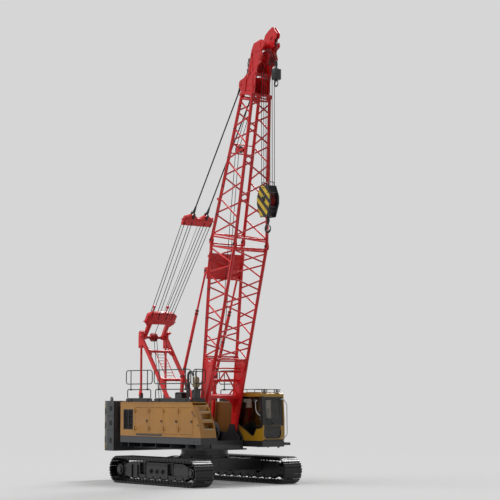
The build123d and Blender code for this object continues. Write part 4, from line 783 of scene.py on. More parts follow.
# ---------------------------------------------------------------- engine house, doors and grille
# Pressed steel panels in ochre machine paint stand on the right-hand deck. Four doors close on round
# recessed latches, a louvre of black slats lets the air in, and the nose has steps with sanded treads.
OCHRE = (0.39, 0.17, 0.014)
HOUSE_PAINT = worn_metal("house_paint", OCHRE, (0.13, 0.12, 0.11), 0.33, wear=0.25, dust=0.05, scale=0.8,
    coat=0.35, streaks=0.06)
BLACK_PAINT = worn_metal("black_paint", (0.018, 0.018, 0.02), (0.12, 0.12, 0.12), 0.36, wear=0.45, dust=0.15,
    scale=2.0, coat=0.2)
SAND_GRIP = worn_metal("sand_grip", (0.62, 0.55, 0.36), (0.2, 0.18, 0.12), 0.85, wear=0.5, dust=0.2, scale=9.0,
    grain=1.0)
HOUSE_SIDE = -1.5
HOUSE_ROOF = 2.83
DOOR_START = -2.14
DOOR_STEP = 0.89
DOOR_WIDE = 0.8
DOOR_LOW, DOOR_HIGH = 1.72, 2.64
LATCH_X = 0.74                  # latch's distance from a door's rear edge
LATCH_HEIGHT = 2.17
rounded_node("engine_house", HOUSE_PAINT, 0.01)
rounded_node("step_unit", HOUSE_PAINT, 0.01)
# A darker ochre that stands for painted shade on the left house's walls that face forward and inward.
HOUSE_PAINTED_SHADE = worn_metal("house_painted_shade", (0.17, 0.068, 0.008), (0.05, 0.04, 0.03), 0.5, wear=0.3, dust=0.02,
    scale=0.8, streaks=0.5)
walls = merged("left_house", HOUSE_PAINT)
walls.materials.append(HOUSE_PAINTED_SHADE)
# Faces that look forward or in toward the boom's feet take the painted shade.
for polygon in walls.polygons:
    if polygon.normal.x > 0.3 or polygon.normal.y < -0.5:
        polygon.material_index = 1
finish_piece("left_house_eased", walls, 0.014, replaces=("left_house",))
rounded_node("side_grille", BLACK_PAINT, 0.0015)
rounded_node("engine", DARK_STEEL, 0.01)

for number in range(1, 5):
    rear = DOOR_START + DOOR_STEP * (number - 1)
    door_body = f"house_door_{number}"
    rounded_node(door_body, HOUSE_PAINT, 0.004, door_body)
    latch = bmesh.new()
    x, y, z = rear + LATCH_X, HOUSE_SIDE - 0.018, LATCH_HEIGHT
    pin(latch, (x, 0, z), y + 0.002, y - 0.006, 0.043, 32)
    pin(latch, (x, 0, z), y - 0.004, y - 0.01, 0.03, 6)
    slab(latch, (x - 0.007, y - 0.018, z - 0.026), (x + 0.007, y - 0.008, z + 0.026))
    make(f"door_latch_{number}", latch, BLACK_PAINT, 0.0015, door_body)
    seal = bmesh.new()
    inner_x, inner_z = (rear + 0.035, rear + DOOR_WIDE - 0.035), (DOOR_LOW + 0.035, DOOR_HIGH - 0.035)
    run = [(inner_x[0], -1.4535, inner_z[0]), (inner_x[1], -1.4535, inner_z[0]), (inner_x[1], -1.4535, inner_z[1]),
        (inner_x[0], -1.4535, inner_z[1])]
    tube(seal, run, 0.006, 8, closed=True, square=True)
    make(f"door_seal_{number}", seal, RUBBER, body=door_body)

panel = bmesh.new()
slab(panel, (DECK_REAR, HOUSE_SIDE - 0.012, 2.795), (1.16, HOUSE_SIDE + 0.004, 2.815))
slab(panel, (DECK_REAR + 0.02, HOUSE_SIDE - 0.008, 1.63), (DECK_FRONT - 0.03, HOUSE_SIDE + 0.003, 1.645))
slab(panel, (-2.225, HOUSE_SIDE - 0.004, 1.65), (-2.215, HOUSE_SIDE + 0.003, 2.79))
slab(panel, (1.365, HOUSE_SIDE - 0.004, 1.65), (1.373, HOUSE_SIDE + 0.003, 2.58))
for x in (-3.0, -2.6, -1.6, -0.7, 0.2, 1.0):
    slab(panel, (x - 0.22, -1.32, HOUSE_ROOF), (x + 0.22, -1.28, HOUSE_ROOF + 0.02))
for x0, x1 in ((-2.95, -2.45), (-2.05, -1.35), (-1.15, -0.25)):
    for y0, y1 in ((-1.24, -0.9), (0.9, 1.36)):
        slab(panel, (x0, y0, HOUSE_ROOF), (x1, y1, HOUSE_ROOF + 0.016))
slab(panel, (DECK_REAR - 0.01, 1.494, 2.795), (0.47, 1.512, 2.815))
for x in (-2.3, -1.55, -0.8, -0.05):
    slab(panel, (x - 0.004, 1.497, 1.66), (x + 0.004, 1.504, 2.78))
for z in (1.8, 2.2, 2.6):
    slab(panel, (0.478, 0.95, z - 0.01), (0.486, 1.4, z + 0.01))
make("house_trims", panel, HOUSE_PAINT, 0.003)

blank = bmesh.new()
slab(blank, (-2.09, HOUSE_SIDE - 0.004, 1.652), (-0.48, HOUSE_SIDE, 1.712))
slab(blank, (-2.4, 1.5, 2.2), (-1.7, 1.504, 2.34))
make("blank_plates", blank, BLACK_PAINT, 0.0015)

small = bmesh.new()
for x in (-1.9, -1.15, -0.4):
    pin(small, (x, 0, 2.2), 1.498, 1.512, 0.04, 24)
pin(small, (1.635, 0, 2.04), HOUSE_SIDE - 0.012, HOUSE_SIDE, 0.03, 24)
tube(small, bent([(1.3, -1.503, 2.5), (1.31, -1.545, 2.52), (1.49, -1.545, 2.36), (1.48, -1.503, 2.34)], 0.03),
    0.011)
tube(small, bent([(1.58, -0.868, 2.0), (1.66, -0.868, 2.02), (1.53, -0.868, 2.5), (1.42, -0.868, 2.5)], 0.05),
    0.013)
for x in (-2.7, -1.2, 0.25):
    slab(small, (x - 0.06, -1.49, HOUSE_ROOF), (x + 0.06, -1.4, HOUSE_ROOF + 0.03))
make("house_fittings", small, BLACK_PAINT, 0.002)

vents = [((x, 1.503, 2.02 + 0.07 * row), FORWARD, LEFT) for row in range(7) for x in (-2.95, -2.6)]
louvre = bmesh.new()
slice_between(louvre, [(-0.13, -0.024, 0), (-0.13, 0.024, 0), (-0.13, -0.02, 0.014)], (0.26, 0, 0))
make_row("left_louvres", louvre, vents, HOUSE_PAINT)

mesh_bars = [((-2.87 + 0.025 * number, -1.452, 2.21), FORWARD, LEFT) for number in range(24)]
bar_mesh = bmesh.new()
slab(bar_mesh, (-0.002, -0.35, -0.002), (0.002, 0.35, 0.002))
make_row("grille_screen", bar_mesh, mesh_bars, DARK_STEEL)

treads, grips, tooth = bmesh.new(), bmesh.new(), bmesh.new()
teeth = []
for tread, back, front in ((1.91, 1.44, 1.735), (2.22, 1.4, 1.625), (2.5, 1.38, 1.475)):
    slab(treads, (back, -1.298, tread - 0.004), (front, -0.882, tread + 0.01))
    slab(grips, (front - 0.05, -1.296, tread + 0.01), (front - 0.004, -0.884, tread + 0.018))
    slab(grips, (front - 0.006, -1.296, tread - 0.035), (front + 0.006, -0.884, tread + 0.018))
    teeth += [((front - 0.02 - 0.025 * row, -1.27 + 0.04 * number, tread + 0.018), FORWARD, UP)
        for number in range(10) for row in range(2)]
make("tread_plates", treads, SAND_GRIP, 0.002)
make("tread_edges", grips, SAND_GRIP, 0.002)
rod(tooth, (0, 0, -0.001), (0, 0, 0.006), 0.008, 8, 0.005)
make_row("tread_studs", tooth, teeth, SAND_GRIP)


# ---------------------------------------------------------------- roof gear
# An air box, the engine's intake under a round moulded pre-cleaner, and a bent exhaust stand on the roof.
TAN_PLASTIC = worn_metal("tan_plastic", (0.34, 0.27, 0.15), (0.2, 0.16, 0.1), 0.42, wear=0.1, dust=0.1, scale=5.0)
HOT_STEEL = worn_metal("hot_steel", (0.05, 0.045, 0.042), (0.16, 0.06, 0.025), 0.5, wear=0.6, dust=0.1, scale=5.0,
    metallic=0.6)
INTAKE = (1.01, -1.125)
rounded_node("roof_gear", BLACK_PAINT, 0.008)


def lathe(bm, profile, centre, sides=40):
    """A turned form on an upright axis. The profile is radius and height, from one end to the other."""
    rings = []
    for radius, z in profile:
        if radius < 1e-6:
            rings.append([bm.verts.new((centre[0], centre[1], z))])
        else:
            rings.append([bm.verts.new((centre[0] + radius * cos(a), centre[1] + radius * sin(a), z))
                for a in angles(sides)])
    for first, second in zip(rings, rings[1:]):
        for k in range(sides):
            j = (k + 1) % sides
            loop = []
            for vert in (first[k % len(first)], first[j % len(first)], second[j % len(second)],
                    second[k % len(second)]):
                if vert not in loop:
                    loop.append(vert)
            if len(loop) > 2:
                bm.faces.new(loop)
    for ring in (rings[0], rings[-1]):
        if len(ring) > 1:
            bm.faces.new(ring)


bowl = bmesh.new()
lathe(bowl, [(0, 3.325), (0.066, 3.325), (0.1, 3.345), (0.116, 3.4), (0.116, 3.47), (0.119, 3.475), (0.119, 3.5),
    (0.116, 3.505), (0.116, 3.61), (0.105, 3.66), (0.075, 3.693), (0.03, 3.7), (0.03, 3.715), (0, 3.718)], INTAKE)
make("precleaner_bowl", bowl, TAN_PLASTIC)
outward = [Vector((cos(a), sin(a), 0)) for a in angles(16)]
fins = [(Vector((*INTAKE, 3.405)) + out * 0.115, UP, out) for out in outward]
fin = bmesh.new()
slab(fin, (-0.045, -0.003, -0.004), (0.045, 0.003, 0.008))
make_row("precleaner_fins", fin, fins, TAN_PLASTIC)
gear = bmesh.new()
lathe(gear, [(0, 3.238), (0.085, 3.238), (0.085, 3.262), (0.072, 3.27), (0.072, 3.34), (0, 3.34)], INTAKE, 32)
for x0, x1, y0, y1, z in ((-0.06, 0.34, -1.25, -1.0, 3.175), (0.9, 1.14, -1.225, -1.025, 3.24)):
    slab(gear, (x0 - 0.008, y0 - 0.008, z - 0.035), (x1 + 0.008, y1 + 0.008, z - 0.022))
    for x in (x0 + 0.05, x1 - 0.05):
        slab(gear, (x - 0.02, y0 - 0.018, z - 0.09), (x + 0.02, y0 - 0.002, z - 0.03))
make("roof_gear_lids", gear, BLACK_PAINT, 0.003)
pipe = bmesh.new()
rod(pipe, (0.52, -1.1, 2.83), (0.52, -1.1, 2.85), 0.085, 32)
rod(pipe, (0.52, -1.1, 3.0), (0.52, -1.1, 3.5), 0.068, 32)
rod(pipe, (0.52, -1.1, 3.6), (0.52, -1.1, 3.63), 0.05, 24)
pin(pipe, (0.52, 0, 3.615), -1.153, -1.135, 0.012, 8)
make("exhaust_shield", pipe, HOT_STEEL, 0.004)


# ---------------------------------------------------------------- guard rails
# Bent steel tube in satin black: an upper loop on posts, a lower loop and a toe board on each panel.
RAIL_BLACK = worn_metal("rail_black", (0.014, 0.015, 0.016), (0.2, 0.19, 0.18), 0.4, wear=0.2, dust=0.05,
    scale=4.0, edge=0.004)
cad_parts["guardrails"].material_slots[0].material = RAIL_BLACK
clamps = bmesh.new()
for x0, x1 in ((-2.81, -1.17), (-1.05, 1.13)):
    for x in (x0 + 0.3, x1 - 0.3):
        slab(clamps, (x - 0.045, -1.462, 2.832), (x + 0.045, -1.452, 2.93))
        slab(clamps, (x - 0.045, -1.452, 2.832), (x + 0.045, -1.33, 2.842))
        slab(clamps, (x - 0.03, -1.468, 3.24), (x + 0.03, -1.412, 3.3))
for x0, x1 in ((-2.81, -1.17), (-1.05, 0.4)):
    for x in (x0 + 0.3, x1 - 0.3):
        slab(clamps, (x - 0.045, 1.452, 2.832), (x + 0.045, 1.462, 2.93))
        slab(clamps, (x - 0.03, 1.412, 3.24), (x + 0.03, 1.468, 3.3))
make("rail_clamps", clamps, RAIL_BLACK, 0.002)


# ---------------------------------------------------------------- winch drums and their rope
# Each drum is turned steel between two flanges with cast ribs. Its rope lies in close turns, with a second
# layer over part of the first, and is six-strand steel wire, greased nearly black.
ROPE_LAY = 0.11                 # length of one turn of a strand
ROPE_RADIUS = 0.011
DRUM_HALF = 0.52


def rope_pattern(tree, colour):
    """Dark grooves between the strands, laid slantwise across the rope's own length."""
    length = put(tree, "UVMap", uv_map="along_rope").outputs[0]
    spot = put(tree, "SeparateXYZ", {0: length})
    strand = math(tree, "PINGPONG", math(tree, "ADD", spot.outputs["X"], spot.outputs["Y"]), 0.5)
    groove = ranged(tree, strand, 0.0, 0.22, 1.0, 0.0)
    return blended(tree, groove, colour, (0.006, 0.006, 0.006, 1))


WIRE_ROPE = worn_metal("wire_rope", (0.026, 0.026, 0.025), (0.1, 0.1, 0.1), 0.42, wear=0.1, dust=0.05, scale=9.0,
    metallic=0.6, streaks=0.0, over=rope_pattern)
WINCH_GREY = worn_metal("winch_grey", (0.1, 0.11, 0.115), (0.3, 0.3, 0.3), 0.4, wear=0.5, dust=0.1, scale=4.0)


def rope_mesh(bm, points, radius=ROPE_RADIUS, sides=8, closed=False):
    """A rope through points, with a UV map that counts strands along it and round it."""
    first = len(bm.faces)
    tube(bm, points, radius, sides, closed)
    layer = bm.loops.layers.uv.get("along_rope") or bm.loops.layers.uv.new("along_rope")
    bm.faces.ensure_lookup_table()
    lengths = [0.0]
    points = [Vector(p) for p in points]
    for here, there in zip(points, points[1:] + points[:1]):
        lengths.append(lengths[-1] + (there - here).length)
    for index in range(first, len(bm.faces)):
        number = index - first
        ring, side = divmod(number, sides)
        if len(bm.faces[index].loops) != 4 or ring >= len(lengths) - 1:
            continue
        corners = ((ring, side), (ring, side + 1), (ring + 1, side + 1), (ring + 1, side))
        for loop, (step, turn) in zip(bm.faces[index].loops, corners):
            loop[layer].uv = (lengths[step] / ROPE_LAY * 6, 6 * turn / sides)


def coil_mesh(radius):
    """One turn of rope about the Z axis."""
    bm = bmesh.new()
    circle = [(radius * cos(a), radius * sin(a), 0) for a in angles(40)]
    rope_mesh(bm, circle, ROPE_RADIUS, 6, closed=True)
    return finish_mesh(bm, WIRE_ROPE)


# body, flange radius, barrel radius, share that the second layer covers
DRUMS = (("hoist_drum_front", 0.33, 0.21, 0.6), ("hoist_drum_rear", 0.33, 0.21, 0.35),
    ("luffing_drum", 0.28, 0.18, 0.8))
for (body, flange, barrel, share), (x, z) in zip(DRUMS, WINCH_AXES):
    rounded_node(body, WINCH_GREY, 0.004, body)
    turns = int(0.98 / (2 * ROPE_RADIUS))
    for name, start, count, layer in (("rope", -0.484, turns, 1.0),
            ("rope_above", -0.473, int(turns * share), 2.75)):
        coils = [((x, start + 2 * ROPE_RADIUS * n, z), FORWARD, LEFT) for n in range(count)]
        finish_piece(f"{body}_{name}", repeated(coil_mesh(barrel + layer * ROPE_RADIUS), coils, WIRE_ROPE),
            body=body)
    ribs = []
    for side in (-1, 1):
        for a in angles(10):
            out = Vector((cos(a), 0, sin(a)))
            ribs.append((Vector((x, side * DRUM_HALF, z)) + out * (flange + 0.06) / 2, out, sideways(side)))
    rib = bmesh.new()
    slab(rib, (-flange * 0.32, -0.006, -0.002), (flange * 0.32, 0.006, 0.018))
    make_row(f"{body}_ribs", rib, ribs, WINCH_GREY, body)
    rims = [place for side in (-1, 1) for place in circle_places((x, side * DRUM_HALF, z), (0, side, 0),
        flange - 0.025, 20)]
    bolts(f"{body}_bolts", rims, 0.008, body)


# ---------------------------------------------------------------- gantry
# The A-frame's raked legs are red box sections that end in the head boxes; upright tension legs drop to
# posts on the frame. A ladder climbs between the legs, and sheaves on the head pin turn the luffing rope.
CRANE_RED = worn_metal("crane_red", (0.72, 0.01, 0.014), (0.35, 0.03, 0.03), 0.36, wear=0.1, dust=0.01, scale=0.9,
    coat=0.15, edge=0.006, streaks=0.05)
GANTRY_TOP = Vector((-3.18, 0, 5.2))
GANTRY_FOOT = Vector((-0.72, 0, 1.98))
GANTRY_SIDE = 0.55
LEG_WAY = (GANTRY_TOP - GANTRY_FOOT).normalized()
LEG_OUT = Vector((LEG_WAY.z, 0, -LEG_WAY.x))        # square to the legs, forward and up
rounded_node("gantry", CRANE_RED, 0.008)
rounded_node("gantry_rear_legs", CRANE_RED, 0.006)


def leg_point(share, out=0.0, y=0.0):
    """A point along the front legs' middle line, and out from it."""
    return GANTRY_FOOT.lerp(GANTRY_TOP, share) + LEG_OUT * out + sideways(y)


frame_parts = bmesh.new()
for side in (-1, 1):
    y = side * GANTRY_SIDE
    for share in (0.512, 0.835):
        diamond = ((share, 0.07), (share + 0.045, 0.0), (share, -0.07), (share - 0.045, 0.0))
        slice_between(frame_parts, [leg_point(*corner, y - side * 0.04) for corner in diamond], (0, -side * 0.1, 0))
    pin(frame_parts, (-3.18, 0, 5.2), side * 0.6, side * 0.615, 0.075, 28)
    pin(frame_parts, (-0.72, 0, 1.98), side * 0.505, side * 0.6, 0.09, 28)
    slab(frame_parts, (-3.235, y - 0.06, 3.05), (-3.125, y + 0.05, 3.16))
    pin(frame_parts, (-3.18, 0, 3.11), y - 0.075, y + 0.065, 0.035, 20)
    slice_between(frame_parts, [(-3.145, y, 3.16), (-3.145, y, 3.42), (-3.09, y, 3.16)], (0, 0.012 * side, 0))
    slice_between(frame_parts, [(-3.215, y, 3.16), (-3.215, y, 3.42), (-3.3, y, 3.16)], (0, 0.012 * side, 0))
    pin(frame_parts, (-3.18, 0, 4.86), y - 0.05, y + 0.05, 0.03, 20)
    bracket = [(-3.29, 5.2), (-3.29, 5.36), (-3.24, 5.42), (-3.1, 5.44), (-2.98, 5.38), (-2.98, 5.3), (-3.07, 5.27)]
    side_profile(frame_parts, bracket, y - 0.045, y + 0.045)
    pin(frame_parts, (-3.04, 0, 5.37), y - 0.12, y + 0.12, 0.045, 20)
    for share in (0.3, 0.42, 0.62, 0.74, 0.9):
        rod(frame_parts, leg_point(share, 0.066, y), leg_point(share, 0.082, y), 0.018, 12)
make("gantry_brackets", frame_parts, CRANE_RED, 0.004)

ladder = bmesh.new()
for y in (-0.19, 0.19):
    tube(ladder, [leg_point(0.5, -0.03, y), leg_point(0.845, -0.03, y)], 0.014, 10)
for number in range(9):
    tube(ladder, [leg_point(0.53 + 0.034 * number, -0.03, y) for y in (-0.19, 0.19)], 0.01, 8)
make("gantry_ladder", ladder, CRANE_RED)


def sheave_mesh(bm, centre, radius, half, bore, axis=(0, 1, 0), holes=8):
    """A grooved wheel: rim, thin web with a ring of lightening holes, and hub. Axis Y unless told."""
    axis = Vector(axis).normalized()
    turn = axis.to_track_quat("Z", "Y").to_matrix()
    profile = [(bore, -half), (bore * 1.7, -half), (bore * 1.75, -half * 0.35), (radius * 0.8, -half * 0.35),
        (radius * 0.83, -half), (radius, -half), (radius, -half * 0.72), (radius - 0.024, -half * 0.3),
        (radius - 0.024, half * 0.3), (radius, half * 0.72), (radius, half), (radius * 0.83, half),
        (radius * 0.8, half * 0.35), (bore * 1.75, half * 0.35), (bore * 1.7, half), (bore, half)]
    rings = [[bm.verts.new(Vector(centre) + turn @ Vector((r * cos(a), r * sin(a), h))) for r, h in profile]
        for a in angles(40)]
    for here, there in zip(rings, rings[1:] + rings[:1]):
        for k in range(len(profile)):
            j = (k + 1) % len(profile)
            bm.faces.new((here[k], there[k], there[j], here[j]))
    for a in angles(holes):
        middle = Vector(centre) + turn @ Vector((cos(a), sin(a), 0)) * radius * 0.56
        rod(bm, middle - axis * half * 0.42, middle + axis * half * 0.42, radius * 0.13, 12)


SHEAVE_RED = worn_metal("sheave_red", (0.42, 0.01, 0.012), (0.25, 0.24, 0.23), 0.38, wear=0.5, dust=0.08, scale=5.0)
turning = bmesh.new()
for y in (-0.06, 0.06):
    sheave_mesh(turning, (-3.18, y, 5.2), 0.155, 0.028, 0.045)
for y in (-0.13, -0.105, 0.105, 0.13):
    pin(turning, (-3.18, 0, 5.2), y - 0.008, y + 0.008, 0.1, 28)
for side in (-1, 1):
    pin(turning, (-3.18, 0, 5.2), side * 0.14, side * 0.48, 0.055, 20)
make("gantry_sheaves", turning, SHEAVE_RED, 0.002)


# ---------------------------------------------------------------- luffing bridle
# Two plated blocks of sheaves face each other on the way from the gantry's head to the boom's head. Eight
# parts of rope and one single part run between them, and two wire pendants go on to the boom.
PENDANT_PIN = Vector((2.49558, 0, 13.74555))
BRIDLE_WAY = (PENDANT_PIN - GANTRY_TOP).normalized()
BRIDLE_UP = Vector((-BRIDLE_WAY.z, 0, BRIDLE_WAY.x))
LOWER_SHEAVES = 0.86
UPPER_SHEAVES = 4.84
rounded_node("lower_equalizer", CRANE_RED, 0.014, "lower_equalizer")
rounded_node("upper_equalizer", CRANE_RED, 0.014, "bridle")


def bridle_point(along, y=0.0, up=0.0):
    """A point along the bridle's line from the gantry's head pin."""
    return GANTRY_TOP + BRIDLE_WAY * along + BRIDLE_UP * up + sideways(y)


def bridle_plate(bm, outline, up, thickness):
    """A plate that lies along the bridle. The outline is length along it and Y."""
    slice_between(bm, [bridle_point(along, y, up) for along, y in outline], BRIDLE_UP * thickness)


block_low = bmesh.new()
for up in (-0.078, 0.06):
    bridle_plate(block_low, [(0.6, -0.54), (0.6, 0.54), (0.66, 0.6), (0.96, 0.58), (1.02, 0.42), (1.04, 0),
        (1.02, -0.42), (0.96, -0.58), (0.66, -0.6)], up, 0.018)
    for y in (-0.52, -0.26, 0, 0.26, 0.52):
        for along in (0.7, 0.9):
            rod(block_low, bridle_point(along, y, up - 0.004), bridle_point(along, y, up + 0.022), 0.022, 12)
for y in (-0.41, 0.41):
    pin(block_low, bridle_point(0, y), -0.06, 0.06, 0.085, 28)
    for up in (-0.07, 0.058):
        bridle_plate(block_low, [(0.02, y - 0.035), (0.6, y - 0.02), (0.6, y + 0.02), (0.02, y + 0.035)], up, 0.012)
for y in (-0.47, 0.13):
    rod(block_low, bridle_point(1.02, y), bridle_point(1.34, y), 0.022, 12)
    slab(block_low, Vector((-0.05, -0.035, -0.03)), Vector((0.05, 0.035, 0.06)),
        Matrix.Translation(bridle_point(1.3, y)) @ Matrix.Rotation(-1.0, 4, "Y"))
for side in (-1, 1):
    pin(block_low, bridle_point(0.68), side * 0.64, side * 0.72, 0.022, 16)
make("lower_equalizer_plates", block_low, CRANE_RED, 0.004, "lower_equalizer")

block_high = bmesh.new()
for up in (-0.078, 0.06):
    bridle_plate(block_high, [(4.75, -0.6), (4.75, 0.6), (4.98, 0.61), (5.0, 0.4), (4.92, 0), (5.0, -0.4),
        (4.98, -0.61)], up, 0.018)
    for y in (-0.54, -0.28, 0, 0.28, 0.54):
        rod(block_high, bridle_point(4.8, y, up - 0.004), bridle_point(4.8, y, up + 0.022), 0.022, 12)
    for y in (-0.3, 0.3):
        rod(block_high, bridle_point(5.04, y, up - 0.006), bridle_point(5.04, y, up + 0.024), 0.045, 20)
for y in (-0.6, 0.6):
    pin(block_high, bridle_point(4.93), y * 1.0, y * 1.19, 0.024, 16)
    bridle_plate(block_high, [(4.96, y - 0.035), (5.06, y - 0.03), (5.08, y + 0.03), (4.96, y + 0.035)], -0.04,
        0.08)
make("upper_equalizer_plates", block_high, CRANE_RED, 0.004, "bridle")

PAIR_LOW = (-0.475, -0.17, 0.17, 0.42)
PAIR_HIGH = (-0.58, -0.27, 0.29, 0.57)
for body, along, ys in (("lower_equalizer", LOWER_SHEAVES, PAIR_LOW), ("bridle", UPPER_SHEAVES, PAIR_HIGH)):
    wheels = bmesh.new()
    for y in ys:
        sheave_mesh(wheels, bridle_point(along, y), 0.095, 0.024, 0.03)
    make(f"{body}_sheaves", wheels, SHEAVE_RED, 0.0015, body)
ropes = bmesh.new()
for low, high in zip(PAIR_LOW, PAIR_HIGH):
    for up in (-0.078, 0.078):
        rope_mesh(ropes, [bridle_point(0.9 + 3.94 * k / 24, low + (high - low) * k / 24, up) for k in range(25)],
            0.0125)
rope_mesh(ropes, [bridle_point(1.0 + 3.75 * k / 24, 0.05 + 0.03 * k / 24, 0.0) for k in range(25)], 0.008)
luffing_ropes = make("luffing_ropes", ropes, WIRE_ROPE, body=None)
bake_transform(luffing_ropes)
reach = bmesh.new()
rope_mesh(reach, [bridle_point(0.12), bridle_point(0.62)])
make("luffing_lead", reach, WIRE_ROPE, body="lower_equalizer")
lead = bmesh.new()
for side in (-1, 1):
    rope_mesh(lead, [(-2.55, side * 0.05, 1.82), (-3.06, side * 0.06, 5.1)])
make("luffing_rope_down", lead, WIRE_ROPE)

# Pendants end in forged open sockets: a tapered basket, a fork and a pin.
stays = bmesh.new()
sockets = bmesh.new()
LENGTH = (PENDANT_PIN - GANTRY_TOP).length
for side in (-1, 1):
    y = side * 0.3
    rope_mesh(stays, [bridle_point(5.22 + (LENGTH - 5.5) * k / 30, y) for k in range(31)], 0.0235, 10)
    for end, way in ((5.1, 1), (LENGTH, -1)):
        rod(sockets, bridle_point(end + way * 0.1, y), bridle_point(end + way * 0.34, y), 0.058, 20, 0.03)
        rod(sockets, bridle_point(end + way * 0.34, y), bridle_point(end + way * 0.38, y), 0.033, 16)
        for part in (-1, 1):
            if way > 0:
                bridle_plate(sockets, [(end - 0.09, y - 0.04), (end + 0.12, y - 0.04), (end + 0.12, y + 0.04),
                    (end - 0.09, y + 0.04)], part * 0.088 - 0.012, 0.024)
    rod(sockets, bridle_point(5.05, y, -0.115), bridle_point(5.05, y, 0.115), 0.032, 20)
    pin(sockets, bridle_point(LENGTH, y), -0.024, 0.024, 0.078, 28)
    turn = Matrix.Rotation(-atan2(BRIDLE_WAY.z, BRIDLE_WAY.x), 4, "Y")
    slab(sockets, (-0.02, -0.02, -0.04), (0.14, 0.02, 0.04),
        Matrix.Translation(bridle_point(LENGTH - 0.14, y)) @ turn)
    pin(sockets, bridle_point(LENGTH, y), -0.0297, 0.0297, 0.035, 24)
make("pendant_ropes", stays, WIRE_ROPE, body="bridle", replaces=("pendants",))
make("pendant_sockets", sockets, DARK_STEEL, 0.003, "bridle")


# ---------------------------------------------------------------- lattice boom
# Two welded sections of round red tube, pinned end to end at four forks. The lower one ends in two plated
# legs with the foot eyes, tied by a cross plate, an arch and crossed braces.
BOOM_TILT = radians(79.5)
BOOM_ALONG = Vector((cos(BOOM_TILT), 0, sin(BOOM_TILT)))
BOOM_REAR = Vector((-sin(BOOM_TILT), 0, cos(BOOM_TILT)))
BOOM_FOOT = Vector((FOOT_X, 0, FOOT_Z))
SECTION_JOINT = 6.5             # where the two sections meet, along the boom
BOOM_END = 11.6
BOOM_WIDTH, BOOM_DEPTH = 1.39, 1.34                 # between the chords' middles, at that joint
FOOT_DEPTH = 0.18
HEAD_WIDTH, HEAD_DEPTH = 0.75, 0.58
for section in ("boom_base_section", "boom_tip_section"):
    mesh = merged(section, CRANE_RED)
    finish_piece(f"{section}_painted", mesh, body="boom", replaces=(section,))


def boom_point(along, rear=0.0, y=0.0):
    """A point along the boom from its foot pin, and out from its middle line to the rear."""
    return BOOM_FOOT + BOOM_ALONG * along + BOOM_REAR * rear + sideways(y)


def chord(along, side, face):
    """The middle of one chord. side is +1 for left, face +1 for the rear."""
    if along <= SECTION_JOINT:
        width, depth = BOOM_WIDTH, FOOT_DEPTH + (BOOM_DEPTH - FOOT_DEPTH) * along / SECTION_JOINT
    else:
        share = (along - SECTION_JOINT) / (BOOM_END - SECTION_JOINT)
        width = BOOM_WIDTH + (HEAD_WIDTH - BOOM_WIDTH) * share
        depth = BOOM_DEPTH + (HEAD_DEPTH - BOOM_DEPTH) * share
    return boom_point(along, face * depth / 2, side * width / 2)


def rear_strip(bm, start, end, y0, y1, thickness):
    """A flat plate that faces the boom's rear, between two places along the boom."""
    slice_between(bm, [boom_point(*start, y0), boom_point(*end, y0), boom_point(*end, y1), boom_point(*start, y1)],
        BOOM_REAR * thickness)


def boom_plate(bm, outline, y0, y1):
    """A plate square to Y whose outline is given along the boom and to its rear."""
    slice_between(bm, [boom_point(along, rear, y0) for along, rear in outline], (0, y1 - y0, 0))


legs = bmesh.new()
for side in (-1, 1):
    for face in (-1, 1):
        low, high = chord(0.2, side, face) - sideways(0.052), chord(2.34, side, face) - sideways(0.052)
        skin = BOOM_REAR * face * 0.014
        slice_between(legs, [low, high, high + skin, low + skin], (0, 0.104, 0))
    for out in (-1, 1):
        face_y = side * 0.695 + out * 0.045
        boom_plate(legs, [(-0.14, -0.06), (-0.1, -0.12), (0.1, -0.13), (0.24, -0.1), (0.24, 0.1), (0.1, 0.13),
            (-0.1, 0.12), (-0.14, 0.06)], face_y - out * 0.002, face_y + out * 0.0095)
        pin(legs, boom_point(2.2, 0.0), face_y, face_y + out * 0.006, 0.05, 20)
    for face in (-1, 1):
        tab = [chord(2.28, side, face), chord(2.62, side, face), chord(2.34, side, 0.25 * face)]
        slice_between(legs, [p + sideways(-0.012) for p in tab], (0, 0.024, 0))
for along, rear in ((1.14, -0.16), (1.14, 0.16)):
    rear_strip(legs, (along - 0.05, rear), (along + 0.05, rear), -0.65, 0.65, 0.014)
arch = [boom_point(1.12, 0.05, -0.65)]
for step in range(17):
    angle = pi * step / 16
    arch.append(boom_point(0.62 + 0.44 * sin(angle), 0.05, -0.6 * cos(angle)))
arch.append(boom_point(1.12, 0.05, 0.65))
slice_between(legs, arch, BOOM_REAR * 0.02)

for side in (-1, 1):
    plate = [boom_point(along, 0.05, side * y) for along, y in ((0.5, 0.648), (1.12, 0.648), (1.12, 0.58),
        (0.62, 0.6))]
    slice_between(legs, plate, BOOM_REAR * 0.02)
braces = [((1.18, -0.64), (2.02, 0.0)), ((2.02, 0.0), (1.18, 0.64)), ((1.22, -0.28), (1.66, -0.62)),
    ((1.22, 0.28), (1.66, 0.62))]
for (a, ya), (b, yb) in braces:
    rod(legs, boom_point(a, -0.06, ya), boom_point(b, -0.06, yb), 0.026, 16)
for along in (2.0, 2.12):
    pin(legs, boom_point(along, 0.02), -0.65, 0.65, 0.026, 16)
make("boom_leg_details", legs, CRANE_RED, 0.002, "boom")

joints = bmesh.new()
for side in (-1, 1):
    for face in (-1, 1):
        centre = chord(SECTION_JOINT, side, face)
        pin(joints, centre, -0.078, 0.078, 0.033, 20)
        pin(joints, centre, -0.066, -0.056, 0.05, 24)
        pin(joints, centre, 0.056, 0.066, 0.05, 24)
        tube(joints, [centre + Vector((0, 0.078, 0.0)), centre + Vector((0, 0.09, -0.02)),
            centre + Vector((0, 0.082, -0.05))], 0.005, 8)
make("boom_joint_pins", joints, DARK_STEEL, 0.002, "boom")

